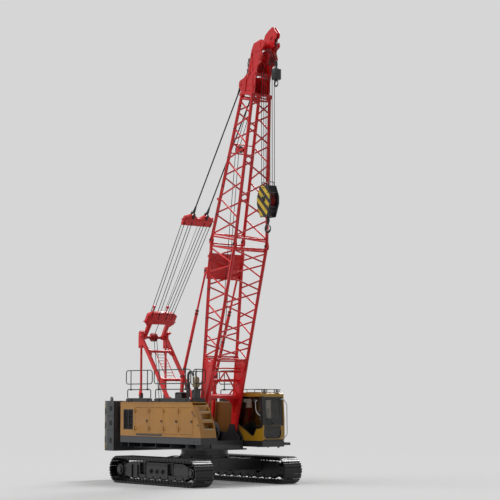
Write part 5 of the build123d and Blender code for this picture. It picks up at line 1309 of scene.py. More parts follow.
# Square frames of tube close the ends of each section, with a small gusset at each corner of these frames.
frames = bmesh.new()
for along in (2.42, 6.3, 6.72, 11.45):
    for (sa, fa), (sb, fb) in (((-1, 1), (1, 1)), ((-1, -1), (1, -1)), ((-1, 1), (-1, -1)), ((1, 1), (1, -1))):
        rod(frames, chord(along, sa, fa), chord(along, sb, fb), 0.026, 16)
rod(frames, chord(6.3, -1, 1), chord(6.3, 1, -1), 0.022, 12)
rod(frames, chord(6.72, 1, 1), chord(6.72, -1, -1), 0.022, 12)
for along in (2.42, 6.3, 6.72, 11.45):
    for side in (-1, 1):
        for face in (-1, 1):
            here = chord(along, side, face)
            slice_between(frames, [here, here + sideways(-side * 0.16), here + BOOM_ALONG * 0.15,
                here + BOOM_ALONG * 0.16], BOOM_REAR * 0.01)
make("boom_end_frames", frames, CRANE_RED, body="boom")

rear_plate = bmesh.new()
plate_bolts = []
for along in (5.16, 5.59, 6.02):
    rear_strip(rear_plate, (along - 0.02, 0.625), (along + 0.02, 0.625), -0.74, 0.74, 0.016)
for y in (-0.75, -0.35, 0.35, 0.75):
    rear_strip(rear_plate, (5.17, 0.625), (6.03, 0.625), y - 0.015, y + 0.015, 0.012)
    plate_bolts += [(boom_point(along, 0.637, y), BOOM_REAR) for along in (5.22, 5.42, 5.76, 5.96)]
make("backstop_plate_ribs", rear_plate, CRANE_RED, 0.003, "boom")
bolts("backstop_plate_bolts", plate_bolts, 0.012, "boom", material=CRANE_RED)

# Rest brackets on the rear chords, and a guide sheave that keeps the hoist rope off the lacing.
rests = bmesh.new()
for along in (5.9, 7.9):
    for side in (-1, 1):
        here = chord(along, side, 1) - sideways(0.008)
        slice_between(rests, [here + BOOM_ALONG * a + BOOM_REAR * r for a, r in ((0, 0), (0.1, 0), (0.06, 0.17),
            (-0.02, 0.17))], (0, 0.016, 0))
GUIDE = 9.72
guide_middle = boom_point(GUIDE, 0.58, 0)
for side in (-1, 1):
    plate = [chord(GUIDE - 0.18, side * 0.3, 1), chord(GUIDE + 0.18, side * 0.3, 1),
        guide_middle + BOOM_ALONG * 0.05, guide_middle - BOOM_ALONG * 0.05]
    plate = [Vector((p.x, side * 0.14, p.z)) for p in plate]
    slice_between(rests, plate, (0, side * 0.014, 0))
for along in (GUIDE - 0.16, GUIDE + 0.16):
    rod(rests, chord(along, -1, 1), chord(along, 1, 1), 0.026, 16)
make("rope_guide_bracket", rests, CRANE_RED, 0.003, "boom")
guide = bmesh.new()
for y in (-0.07, 0.07):
    sheave_mesh(guide, guide_middle + sideways(y), 0.12, 0.026, 0.024, holes=6)
pin(guide, guide_middle, -0.16, 0.16, 0.02, 16)
make("rope_guide_sheaves", guide, DARK_STEEL, 0.001, "boom")

hoist = bmesh.new()
for y, drum_x in ((0.07, -0.12), (-0.07, -1.5)):
    at_drum = Vector((drum_x + 0.05, y, 1.8 + 0.24))
    low = boom_point(2.9, 0.3, y)
    high = guide_middle + BOOM_REAR * 0.12 + sideways(y)
    points = [at_drum.lerp(low, k / 10) for k in range(10)]
    points += [low.lerp(high, k / 24) for k in range(24)]
    head = boom_point(12.9, -0.2, y)
    points += [high.lerp(head, k / 12) for k in range(13)]
    rope_mesh(hoist, points)
hoist_ropes = make("hoist_ropes", hoist, WIRE_ROPE, body=None)
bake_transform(hoist_ropes)

cable = bmesh.new()
route = [chord(along, -1, 1) + BOOM_REAR * 0.075 + sideways(0.02)
    for along in (2.4, 4.0, 6.3, 6.7, 8.5, 10.4, 11.5)]
tube(cable, route, 0.012, 8)
for along in (2.8, 3.8, 4.8, 5.8, 7.4, 8.4, 9.4, 10.4, 11.2):
    here = chord(along, -1, 1)
    rod(cable, here - BOOM_ALONG * 0.012, here + BOOM_ALONG * 0.012, 0.063, 20)
make("boom_cable", cable, RUBBER, body="boom")


# ---------------------------------------------------------------- boom head
# Two thick cheek plates stiffened with flat bars carry the main sheaves between them, an arm holds the
# auxiliary sheave in front, and black limit switches stand on the rear edge.
rounded_node("boom_head", CRANE_RED, 0.007, "boom")
CHEEK_OUTER = 0.33
MAIN_AXIS = (12.9, -0.436)
AUX_AXIS = (13.6, -0.57)
head = bmesh.new()
for side in (-1, 1):
    near, far = sorted((side * CHEEK_OUTER, side * (CHEEK_OUTER + 0.016)))
    boom_plate(head, [(11.72, -0.24), (11.8, -0.24), (13.06, 0.02), (13.02, 0.07), (11.72, -0.17)], near, far)
    boom_plate(head, [(11.68, 0.25), (12.2, 0.25), (12.28, 0.12), (13.05, 0.04), (13.05, 0.0), (12.22, 0.08),
        (12.1, 0.2), (11.68, 0.2)], near, far)
    boom_plate(head, [(13.1, -0.44), (13.2, -0.44), (13.38, -0.33), (13.34, -0.1), (13.1, 0.02)], near,
        far - 0.006 * (side > 0))
    middle = boom_point(*MAIN_AXIS)
    pin(head, middle, side * CHEEK_OUTER, side * 0.355, 0.11, 36)
    pin(head, middle, side * 0.355, side * 0.375, 0.065, 32)
    for along, rear, radius in ((12.35, 0.08, 0.085), (12.35, -0.18, 0.085), (13.38, -0.3, 0.07),
            (13.33, -0.52, 0.06)):
        pin(head, boom_point(along, rear), side * CHEEK_OUTER, side * 0.344, radius, 28)
    pin(head, boom_point(*AUX_AXIS), side * 0.075, side * 0.1, 0.075, 28)
    pin(head, boom_point(*AUX_AXIS), side * 0.1, side * 0.115, 0.04, 24)
    boom_plate(head, [(11.68, 0.26), (11.68, 0.285), (12.22, 0.285), (12.22, 0.26)], side * 0.3, side * 0.36)
    for along in (11.75, 11.95, 12.15):
        boom_plate(head, [(along, -0.28), (along + 0.016, -0.28), (along + 0.016, 0.2), (along, 0.2)], near,
            far + 0.008)
    lug = boom_point(11.95, 0.47, side * 0.3)
    pin(head, lug, -0.055, -0.075, 0.06, 24)
    pin(head, lug, 0.055, 0.075, 0.06, 24)
for along, rear in ((12.0, 0.28), (12.5, 0.12), (12.9, 0.07)):
    pin(head, boom_point(along, rear), -0.31, 0.31, 0.03, 20)
for start, end, thickness in (((11.7, 0.24), (12.25, 0.24), 0.014), ((12.35, 0.125), (13.0, 0.09), 0.012),
        ((13.14, -0.38), (13.32, -0.36), 0.016)):
    rear_strip(head, start, end, -0.29, 0.29, thickness)
for side in (-1, 1):
    boom_plate(head, [(13.28, -0.66), (13.45, -0.7), (13.62, -0.8), (13.74, -0.8), (13.9, -0.6), (13.84, -0.5),
        (13.6, -0.68), (13.3, -0.6)], side * 0.075, side * 0.083)
make("boom_head_stiffeners", head, CRANE_RED, 0.004, "boom")
head_bolts = []
for side in (-1, 1):
    head_bolts += circle_places(boom_point(*MAIN_AXIS) + sideways(side * 0.355), (0, side, 0), 0.085, 8)
    head_bolts += circle_places(boom_point(12.35, 0.08) + sideways(side * 0.344), (0, side, 0), 0.055, 6)
    for along, rear in ((13.15, -0.35), (13.15, -0.05), (13.3, -0.2), (13.24, -0.38)):
        head_bolts.append((boom_point(along, rear) + sideways(side * 0.342), (0, side, 0)))
bolts("boom_head_bolts", head_bolts, 0.012, "boom")

switches = bmesh.new()
for along, rear, y in ((12.42, 0.2, -0.27), (12.62, 0.22, -0.24), (12.78, 0.18, -0.28), (12.5, 0.2, 0.1)):
    spot = boom_point(along, rear, y)
    slab(switches, spot - Vector((0.05, 0.045, 0.07)), spot + Vector((0.05, 0.045, 0.07)))
    rod(switches, spot, spot + BOOM_REAR * 0.09 + BOOM_ALONG * 0.02, 0.016, 12)
tube(switches, bent([boom_point(12.42, 0.25, -0.27), boom_point(12.2, 0.36, -0.27), boom_point(12.0, 0.33, -0.28),
    boom_point(11.6, 0.36, -0.33)], 0.06), 0.01, 8)
tube(switches, bent([boom_point(12.78, 0.25, -0.28), boom_point(12.7, 0.3, -0.28), boom_point(12.5, 0.27, -0.26),
    boom_point(12.42, 0.2, -0.27)], 0.05), 0.01, 8)
spot = boom_point(13.86, -0.6)
slab(switches, spot - Vector((0.03, 0.045, 0.05)), spot + Vector((0.03, 0.045, 0.05)))
pin(switches, boom_point(13.4, -0.84), -0.04, 0.04, 0.035, 16)
make("limit_switches", switches, BLACK_PAINT, 0.006, "boom")

head_wheels = bmesh.new()
for y in (-0.096, 0.0, 0.096):
    sheave_mesh(head_wheels, boom_point(*MAIN_AXIS, y), 0.24, 0.03, 0.0515)
make("head_sheave_wheels", head_wheels, SHEAVE_RED, 0.0015, "head_sheaves",
    replaces=("head_sheaves",))
aux_wheel = bmesh.new()
sheave_mesh(aux_wheel, boom_point(*AUX_AXIS, 0), 0.205, 0.03, 0.0355)
make("aux_sheave_wheel", aux_wheel, SHEAVE_RED, 0.0015, "aux_sheave", replaces=("aux_sheave",))


# ---------------------------------------------------------------- backstops
# Two telescopic struts of red tube stand on raked posts and hold the boom from falling back. Each has an
# end cap with a grease nipple where the inner rod comes out, and its lift rope runs beside it.
STOP_FOOT = Vector((-0.33, 0, 3.73))
STOP_HEAD = Vector((1.01061, 0, 7.37956))
STOP_SIDE = 0.715               # from the middle to a strut
STOP_WAY = (STOP_HEAD - STOP_FOOT).normalized()
STOP_OUT = Vector((-STOP_WAY.z, 0, STOP_WAY.x))
rounded_node("backstop_posts", CRANE_RED, 0.007)


def pinned_eye(name, centre, half, radius, inner, outer, rim, body):
    """A pin through an eye, with a round collar on each side."""
    bm = bmesh.new()
    pin(bm, centre, -half, half, radius)
    for out in (-1, 1):
        pin(bm, centre, out * inner, out * outer, rim)
    make(name, bm, DARK_STEEL, 0.002, body)


for side_name, side in SIDES:
    foot, tip = STOP_FOOT + sideways(side * STOP_SIDE), STOP_HEAD + sideways(side * STOP_SIDE)
    tube_body = f"backstop_tube_{side_name}"
    rounded_node(tube_body, CRANE_RED, 0.004, tube_body)
    rounded_node(f"backstop_rod_{side_name}", CRANE_RED, 0.004, f"backstop_rod_{side_name}")
    collars = bmesh.new()
    for along, length, radius in ((0.235, 0.03, 0.064), (2.4, 0.05, 0.066), (2.31, 0.02, 0.062)):
        rod(collars, foot + STOP_WAY * along, foot + STOP_WAY * (along + length), radius, 28)
    rod(collars, foot + STOP_WAY * 2.42, foot + STOP_WAY * 2.42 + STOP_OUT * 0.085, 0.008, 8)
    make(f"backstop_collars_{side_name}", collars, DARK_STEEL, 0.003, tube_body)
    pinned_eye(f"backstop_foot_pin_{side_name}", foot, 0.065, 0.034, 0.046, 0.056, 0.055, "upperworks")
    pinned_eye(f"backstop_head_pin_{side_name}", tip, 0.06, 0.03, 0.041, 0.05, 0.05, "boom")
    line = bmesh.new()
    rope_mesh(line, [foot + STOP_OUT * 0.062 + STOP_WAY * (0.25 + 2.1 * k / 16) for k in range(17)], 0.008)
    for along in (0.3, 1.3, 2.3):
        rod(line, foot + STOP_WAY * (along - 0.01), foot + STOP_WAY * (along + 0.01), 0.066, 24)
    make(f"backstop_rope_{side_name}", line, WIRE_ROPE, body=tube_body)


# ---------------------------------------------------------------- hoist falls and main hook block
# Six parts of wire rope hold the main block: two black side plates with warning stripes over three sheaves,
# a rope guard above, and a forged swivel hook with its ball below.
FALLS_X = 3.55954
FALLS_OUT = 0.2263
BLOCK_AXIS = 9.65
HEAD_AXIS_Z = 14.51453
SHEAVE_SPOTS = (-0.096, 0.0, 0.096)                 # how far each main sheave is from the middle


def block_point(x, y, z):
    """A point from the middle of the hook block's axle."""
    return FALLS_X + x, y, BLOCK_AXIS + z


falls = bmesh.new()
for y in SHEAVE_SPOTS:
    for out in (-1, 1):
        rope_mesh(falls, [block_point(out * FALLS_OUT, y, (HEAD_AXIS_Z - BLOCK_AXIS) * k / 40) for k in range(41)])
main_ropes = make("main_rope_falls", falls, WIRE_ROPE, body=None, replaces=("main_falls",))
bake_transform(main_ropes)


def cheek_stripes(tree, colour):
    """Wide black diagonal stripes over yellow paint."""
    spot = put(tree, "SeparateXYZ", {0: object_place(tree)})
    level = math(tree, "ADD", spot.outputs["Z"], spot.outputs["X"])
    dark = math(tree, "GREATER_THAN", math(tree, "PINGPONG", level, 0.17), 0.085)
    return blended(tree, dark, colour, (0.012, 0.012, 0.013, 1))


HOOK_STRIPES = worn_metal("hook_stripes", (0.68, 0.47, 0.03), (0.05, 0.05, 0.05), 0.38, wear=0.35, dust=0.05,
    scale=3.0, coat=0.2, over=cheek_stripes)
HOOK_BLACK = worn_metal("hook_black", (0.02, 0.02, 0.022), (0.18, 0.18, 0.18), 0.4, wear=0.5, dust=0.05, scale=3.0,
    coat=0.15)
rounded_node("main_hook_block", HOOK_BLACK, 0.006, "main_hook_block")
cheek = bmesh.new()
for side in (-1, 1):
    outer = side * 0.199
    outline = [(-0.185, 0.465), (0.185, 0.465), (0.335, 0.1), (0.335, -0.14), (0.165, -0.575), (-0.165, -0.575),
        (-0.335, -0.14), (-0.335, 0.1)]
    side_profile(cheek, [(FALLS_X + x, BLOCK_AXIS + z) for x, z in outline], outer, outer + side * 0.01)
make("hook_block_sides", cheek, HOOK_STRIPES, 0.003, "main_hook_block")
case = bmesh.new()
axle = block_point(0, 0, 0)
for side in (-1, 1):
    pin(case, axle, side * 0.205, side * 0.235, 0.1, 36)
    pin(case, axle, side * 0.235, side * 0.25, 0.06, 32)
    for x, z in ((-0.24, 0.22), (0.24, 0.22), (-0.24, -0.26), (0.24, -0.26), (0.0, 0.4), (0.0, -0.5)):
        pin(case, block_point(x, 0, z), side * 0.205, side * 0.222, 0.024, 6)
    for z in (0.22, -0.26):
        pin(case, block_point(side * 0.24, 0, z), -0.165, 0.165, 0.022, 16)
    guard = [block_point(side * 0.15, y, z) for y, z in ((-0.14, 0.47), (-0.14, 0.6), (0.14, 0.6), (0.14, 0.47))]
    tube(case, bent(guard, 0.05), 0.016, 10)
    slab(case, block_point(side * 0.18, -0.165, 0.44), block_point(side * 0.13, 0.165, 0.475))
    slab(case, block_point(-0.16, side * 0.048 - 0.006, 0.4), block_point(0.16, side * 0.048 + 0.006, 0.46))
    edge = [(0.335, 0.1), (0.335, -0.14), (0.185, -0.53), (0.165, -0.53), (0.312, -0.14), (0.312, 0.1)]
    for y0, y1 in ((-0.163, -0.15), (0.15, 0.163)):
        side_profile(case, [(FALLS_X + side * x, BLOCK_AXIS + z) for x, z in edge], y0, y1)
pin(case, (FALLS_X, 0, 9.14), -0.215, 0.215, 0.05, 24)
make("hook_block_fittings", case, HOOK_BLACK, 0.004, "main_hook_block")
wheels = bmesh.new()
for y in SHEAVE_SPOTS:
    sheave_mesh(wheels, block_point(0, y, 0), 0.24, 0.03, 0.0505)
make("hook_block_sheaves", wheels, SHEAVE_RED, 0.0015, "main_hook_block",
    replaces=("main_block_sheaves",))

HOOK_PAINT = worn_metal("hook_paint", (0.022, 0.022, 0.023), (0.14, 0.135, 0.13), 0.36, wear=0.45, dust=0.05,
    scale=6.0, metallic=0.4)


def forged_hook(bm, centre, inner, outer, shank_top, neck):
    """A point hook forged round: its section is thick in the bowl and thins towards the point."""
    middle = (inner + outer) / 2
    steps = 30
    line = [(centre + raised(shank_top - centre.z), neck), (centre + raised(outer + neck * 1.2), neck)]
    start, end = radians(97), radians(-205)
    for step in range(steps + 1):
        share = step / steps
        angle = start + (end - start) * share
        radius = (outer - inner) / 2 * (0.62 + 0.42 * sin(pi * min(share * 1.15, 1.0)))
        radius *= 1.0 - 0.45 * max(0.0, share - 0.8) / 0.2
        line.append((centre + Vector((-cos(angle) * middle, 0, sin(angle) * middle)), radius))
    tip = line[-1][0]
    line.append((tip + Vector((-0.1 * middle, 0, 0.28 * middle)), line[-1][1] * 0.55))
    rings = []
    for index, (point, radius) in enumerate(line):
        before = line[max(index - 1, 0)][0]
        after = line[min(index + 1, len(line) - 1)][0]
        way = (after - before).normalized()
        normal = way.cross(sideways(1)).normalized()
        rings.append([bm.verts.new(point + (normal * cos(a) + sideways(1) * sin(a) * 0.86) * radius)
            for a in angles(16)])
    for here, there in zip(rings, rings[1:]):
        for k in range(16):
            j = (k + 1) % 16
            bm.faces.new((here[k], here[j], there[j], there[k]))
    bm.faces.new(rings[0][::-1])
    bm.faces.new(rings[-1])


def hook_latch(bm, centre, inner, outer):
    """Sprung safety latch that closes the throat."""
    middle = (inner + outer) / 2
    hinge = centre + Vector((-0.15 * middle, 0, 0.98 * middle))
    lip = centre + Vector((0.92 * middle, 0, 0.1 * middle))
    for y in (-0.011, 0.011):
        outline = [hinge, hinge + Vector((0.03, 0, 0.02)), lip + Vector((0.01, 0, 0.03)), lip]
        slice_between(bm, [p + sideways(y) for p in outline], (0, 0.004 if y > 0 else -0.004, 0))
    pin(bm, hinge, -0.03, 0.03, 0.014, 14)


big = bmesh.new()
hook_middle = Vector((FALLS_X, 0, 8.68))
forged_hook(big, hook_middle, 0.086, 0.1725, 9.0, 0.046)
rod(big, (FALLS_X, 0, 8.9), (FALLS_X, 0, 9.06), 0.062, 28, 0.05)
rod(big, (FALLS_X, 0, 9.2103), (FALLS_X, 0, 9.265), 0.075, 28)
rod(big, (FALLS_X, 0, 8.98), (FALLS_X, 0, 9.265), 0.045, 24)
make("main_hook_forging", big, HOOK_PAINT, 0.0, "main_hook", replaces=("main_hook",))
latch = bmesh.new()
hook_latch(latch, hook_middle, 0.086, 0.1725)
make("main_hook_latch", latch, BARE_STEEL, 0.001, "main_hook")


# ---------------------------------------------------------------- auxiliary hook
# One part of rope ends in a wedge socket on a round overhaul weight. Under it a small hook turns on a swivel.
AUX_X = 4.01016
AUX_SHEAVE_Z = 15.17839
WEIGHT_TOP = 14.18
line = bmesh.new()
rope_mesh(line, [(AUX_X, 0, WEIGHT_TOP + (AUX_SHEAVE_Z - WEIGHT_TOP) * k / 16) for k in range(17)])
aux_rope = make("aux_rope_fall", line, WIRE_ROPE, body=None, replaces=("aux_falls",))
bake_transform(aux_rope)
HOUSING = worn_metal("weight_paint", (0.02, 0.021, 0.022), (0.12, 0.118, 0.115), 0.4, wear=0.4, dust=0.05,
    scale=5.0, grain=0.5)
rounded_node("aux_hook_block", HOUSING, 0.008, "aux_hook_block")
small = bmesh.new()
for low, high, reach in ((14.07, 14.088, 0.105), (13.698, 13.71, 0.1)):
    for a in angles(4, 0.6):
        x, y = AUX_X + reach * cos(a), reach * sin(a)
        rod(small, (x, y, low), (x, y, high), 0.016, 6)
for z in (13.82, 13.95):                            # welded hoops round the weight
    lathe(small, [(0.16, z), (0.1665, z + 0.004), (0.1665, z + 0.014), (0.16, z + 0.018)], (AUX_X, 0), 40)
side_profile(small, [(AUX_X - 0.045, 14.17), (AUX_X + 0.035, 14.17), (AUX_X + 0.045, 14.23),
    (AUX_X + 0.018, 14.36), (AUX_X - 0.02, 14.36), (AUX_X - 0.055, 14.24)], -0.03, 0.03)
pin(small, (AUX_X - 0.005, 0, 14.2), -0.045, 0.045, 0.018, 16)
rod(small, (AUX_X - 0.03, 0, 14.18), (AUX_X - 0.035, 0, 14.1), 0.01, 8)
rod(small, (AUX_X, 0, 13.66), (AUX_X, 0, 13.705), 0.06, 24)
make("aux_weight_details", small, DARK_STEEL, 0.003, "aux_hook_block")
little = bmesh.new()
aux_middle = Vector((AUX_X, 0, 13.57))
forged_hook(little, aux_middle, 0.06, 0.12, 13.779, 0.03)
make("aux_hook_forging", little, HOOK_PAINT, 0.0, "aux_hook", replaces=("aux_hook",))
latch = bmesh.new()
hook_latch(latch, aux_middle, 0.06, 0.12)
make("aux_hook_latch", latch, BARE_STEEL, 0.001, "aux_hook")


# ---------------------------------------------------------------- cab shell and its glass
# A pressed steel cab, ochre outside and trimmed in dark plastic inside. Glass is bonded in black rubber, the
# front corner post is black, and a light bar and grab rails of bent tube are fixed outside.
CAB_FRONT = 2.245
CAB_SIDE = 0.82
CAB_FAR = 1.79
CAB_ROOF = 3.15
CAB_SILL = 2.2
CAB_LEAN = 0.06
CAB_TRIM = worn_metal("cab_trim", (0.03, 0.03, 0.031), (0.05, 0.05, 0.05), 0.62, wear=0.05, dust=0.05, scale=12.0,
    grain=0.5)

GLOSS_BLACK = worn_metal("gloss_black", (0.008, 0.008, 0.009), (0.03, 0.03, 0.03), 0.38, wear=0.05, dust=0.02,
    scale=3.0, streaks=0.0)


def glass_material(name, tint, roughness):
    """Tinted sheet glass with faint wiped smears."""
    material, tree, out = blank_material(name)
    spot = object_place(tree)
    smear = put(tree, "TexNoise", {"Vector": spot, "Scale": 3.0, "Detail": 6.0, "Distortion": 1.5})
    rough = ranged(tree, smear, 0.45, 0.75, roughness, roughness + 0.1)
    body = put(tree, "BsdfPrincipled", {"Base Color": tint, "Roughness": rough, "Transmission Weight": 1.0,
        "IOR": 1.45})
    tree.links.new(body.outputs[0], out.inputs["Surface"])
    return material


def front_x(z, out=0.0):
    """How far forward the cab's front lies at a height."""
    return CAB_FRONT - CAB_LEAN * max(0.0, z - CAB_SILL) / (CAB_ROOF - CAB_SILL) + out


CAB_PAINT = worn_metal("cab_paint", (0.42, 0.225, 0.01), (0.13, 0.12, 0.11), 0.33, wear=0.2, dust=0.03, scale=0.9,
    coat=0.3, streaks=0.05)
SIDE_GLASS = glass_material("cab_glass", (0.36, 0.34, 0.31, 1), 0.015)
shell = merged("cab_shell", CAB_PAINT)
shell.materials.append(CAB_TRIM)
for polygon in shell.polygons:
    x, y, z = polygon.center
    if 0.65 < x < front_x(z) - 0.05 and CAB_SIDE + 0.05 < y < CAB_FAR - 0.05 and 1.55 < z < CAB_ROOF - 0.05:
        polygon.material_index = 1
finish_piece("cab_shell_eased", shell, 0.006, replaces=("cab_shell",))
for pane in ("cab_windows", "cab_door_glass"):
    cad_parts[pane].material_slots[0].material = SIDE_GLASS
rounded_node("cab_platform", BLACK_PAINT, 0.006)
rounded_node("cab_door", CAB_PAINT, 0.006, "cab_door")

rubber = bmesh.new()
side_pane = [(0.72, 3.02), (2.11, 3.02), (2.15, 2.2), (2.13, 1.93), (1.88, 1.91), (1.74, 1.68), (1.62, 1.68),
    (1.25, 1.88), (0.72, 2.14)]
tube(rubber, run_round([(x, CAB_SIDE + 0.004, z) for x, z in side_pane], 0.03), 0.014, 8)
low_pane = [(0.89, 2.01), (1.62, 2.01), (1.62, 1.59), (0.89, 1.59)]
tube(rubber, run_round([(CAB_FRONT - 0.003, y, z) for y, z in low_pane], 0.14, 8), 0.014, 8)
rear_pane = [(0.604, y, z) for y, z in ((0.97, 2.25), (1.64, 2.25), (1.64, 2.95), (0.97, 2.95))]
tube(rubber, run_round(rear_pane, 0.04), 0.012, 8)
make("cab_rubbers", rubber, RUBBER)

# Black bands printed round the windscreen and the lower pane, and the black corner post beside them.
bands = bmesh.new()


def front_band(bm, y0, y1, z0, z1, out, thick=0.004):
    """A strip on the cab's front, which follows its lean."""
    for low, high in ((z0, min(z1, CAB_SILL)), (max(z0, CAB_SILL), z1)):
        if low < high:
            slice_between(bm, [(front_x(low, out), y0, low), (front_x(low, out), y1, low),
                (front_x(high, out), y1, high), (front_x(high, out), y0, high)], (thick, 0, 0))


for y0, y1, z0, z1 in ((0.89, 1.0, 2.07, 2.96), (1.6, 1.71, 2.07, 2.96), (1.0, 1.6, 2.07, 2.27),
        (1.0, 1.6, 2.9, 2.96)):
    front_band(bands, y0, y1, z0, z1, -0.0195)
post = [(-0.13, 0.8165), (0.004, 0.8165), (0.004, 0.893), (-0.02, 0.893), (-0.02, 0.83), (-0.13, 0.83)]
for low, high in ((2.04, CAB_SILL), (CAB_SILL, 3.03)):
    outline = [(front_x(low, x), y, low) for x, y in post]
    slice_between(bands, outline, (front_x(high) - front_x(low), 0, high - low))
front_band(bands, 1.708, 1.735, 2.04, 3.0, 0.001)
front_band(bands, 0.86, 1.72, 2.955, 3.01, 0.001)
front_band(bands, 0.86, 1.72, 2.02, 2.075, 0.001)
side_profile(bands, [(2.105, 3.03), (2.19, 3.03), (2.235, 2.2), (2.238, 1.98), (2.125, 1.92), (2.145, 2.2)],
    CAB_SIDE - 0.004, CAB_SIDE + 0.001)
for z0, z1, y0, y1 in ((1.6, 1.66, 1.05, 1.46), (1.95, 2.0, 0.93, 1.58)):
    front_band(bands, y0, y1, z0, z1, -0.0195)
make("cab_black_bands", bands, GLOSS_BLACK, 0.001)

wipers = bmesh.new()
for pivot, far, blade0, blade1 in (((1.3, 2.1), (1.06, 2.32), (1.02, 2.16), (1.08, 2.62)),
        ((1.1, 2.03), (1.44, 2.09), (1.06, 2.11), (1.56, 2.06))):
    points = [(front_x(z, 0.03), y, z) for y, z in (pivot, far)]
    rod(wipers, (front_x(pivot[1], -0.01), *pivot), (front_x(pivot[1], 0.04), *pivot), 0.022, 16)
    tube(wipers, points, 0.009, 8)
    tube(wipers, [(front_x(z, 0.012), y, z) for y, z in (blade0, blade1)], 0.011, 8)
slab(wipers, (CAB_FRONT + 0.004, 1.2, 2.03), (CAB_FRONT + 0.03, 1.4, 2.075))
make("cab_wipers", wipers, BLACK_PAINT, 0.002)

fittings = bmesh.new()
rail_run = [(0.75, 1.74, 3.27), (0.75, 0.87, 3.27), (2.12, 0.87, 3.27), (2.12, 1.74, 3.27)]
tube(fittings, run_round(rail_run, 0.07), 0.013, 10)
for x, y in ((1.03, 0.87), (1.73, 0.87), (2.12, 0.92), (2.12, 1.46), (1.73, 1.74), (1.03, 1.74), (0.75, 1.3)):
    rod(fittings, (x, y, 3.145), (x, y, 3.27), 0.011, 12)
    rod(fittings, (x, y, 3.145), (x, y, 3.158), 0.03, 16)
for y in (1.02, 1.58):
    slab(fittings, (2.1, y - 0.06, 3.17), (2.17, y + 0.06, 3.25))
    rod(fittings, (2.12, y, 3.15), (2.12, y, 3.18), 0.015, 12)
tube(fittings, bent([(0.66, CAB_FAR - 0.002, 1.75), (0.66, CAB_FAR + 0.06, 1.77), (0.66, CAB_FAR + 0.06, 2.55),
    (0.66, CAB_FAR - 0.002, 2.57)], 0.04), 0.013)
slab(fittings, (CAB_FRONT - 0.002, 0.9, 1.508), (CAB_FRONT + 0.008, 1.72, 1.545))
make("cab_fittings", fittings, BLACK_PAINT, 0.003)
lenses = bmesh.new()
for y in (1.02, 1.58):
    slab(lenses, (2.17, y - 0.05, 3.18), (2.174, y + 0.05, 3.24))
LENS = worn_metal("lamp_lens", (0.72, 0.72, 0.68), (0.5, 0.5, 0.5), 0.12, wear=0.0, dust=0.1, scale=30.0, coat=0.6)
make("cab_lamp_lenses", lenses, LENS, 0.002)

bright = bmesh.new()
rail_run = [(CAB_FRONT - 0.01, 1.64, 2.93), (2.31, 1.68, 2.93), (2.31, 1.84, 2.76), (2.31, 1.85, 1.7),
    (2.31, 1.72, 1.6), (2.24, 1.7, 1.6)]
tube(bright, bent(rail_run, 0.07), 0.016, 12)
tube(bright, bent([(1.93, CAB_SIDE + 0.003, 2.9), (1.87, 0.794, 2.84), (1.89, 0.794, 2.58), (1.98, 0.794, 2.44),
    (2.1, CAB_SIDE + 0.003, 2.36)], 0.03), 0.016, 10)
RAIL_GREY = worn_metal("rail_grey", (0.55, 0.55, 0.54), (0.3, 0.3, 0.3), 0.3, wear=0.4, dust=0.05, scale=6.0,
    coat=0.3)
make("cab_grab_rails", bright, RAIL_GREY)

panels = bmesh.new()
for z in (1.535, 3.055):
    slab(panels, (0.69, CAB_SIDE - 0.003, z - 0.006), (2.16, CAB_SIDE + 0.001, z + 0.006))
slab(panels, (0.72, CAB_SIDE - 0.004, 1.6), (1.15, CAB_SIDE + 0.001, 1.82))
slab(panels, (0.9, 0.9, 3.149), (1.95, 1.7, 3.165))
slab(panels, (1.1, 1.0, 3.165), (1.7, 1.6, 3.178))
for side_y in (0.95, 1.66):
    slab(panels, (0.594, side_y - 0.02, 1.62), (0.602, side_y + 0.02, 3.0))
make("cab_panels", panels, CAB_PAINT, 0.003)

door_parts = bmesh.new()
door_pane = [(x, CAB_FAR - 0.002, z) for x, z in ((0.85, 2.2), (1.55, 2.2), (1.55, 2.95), (0.85, 2.95))]
tube(door_parts, run_round(door_pane, 0.04), 0.011, 8)
slab(door_parts, (1.5, CAB_FAR + 0.002, 1.98), (1.62, CAB_FAR + 0.012, 2.12))
tube(door_parts, bent([(1.56, CAB_FAR, 1.66), (1.56, CAB_FAR + 0.05, 1.68), (1.56, CAB_FAR + 0.05, 1.92),
    (1.56, CAB_FAR, 1.94)], 0.03), 0.011)
make("cab_door_fittings", door_parts, BLACK_PAINT, 0.002, "cab_door")

# Expanded metal walkway with a raised tooth pattern, and a toe rail along its outer edge.
grating = bmesh.new()
slab(grating, (-0.02, -0.13, 0), (-0.012, 0.13, 0.012))
walk = [((0.68 + 0.03 * n, 1.925, 1.379), FORWARD, UP) for n in range(52)]
make_row("walkway_grating", grating, walk, DARK_STEEL)
edge = bmesh.new()
slab(edge, (0.66, 2.045, 1.38), (2.235, 2.057, 1.43))
for x in (0.75, 1.3, 1.85):
    slice_between(edge, [(x, 1.79, 1.34), (x, 2.05, 1.34), (x, 1.79, 1.22)], (0.012, 0, 0))
make("walkway_edge", edge, DECK_PAINT, 0.002)


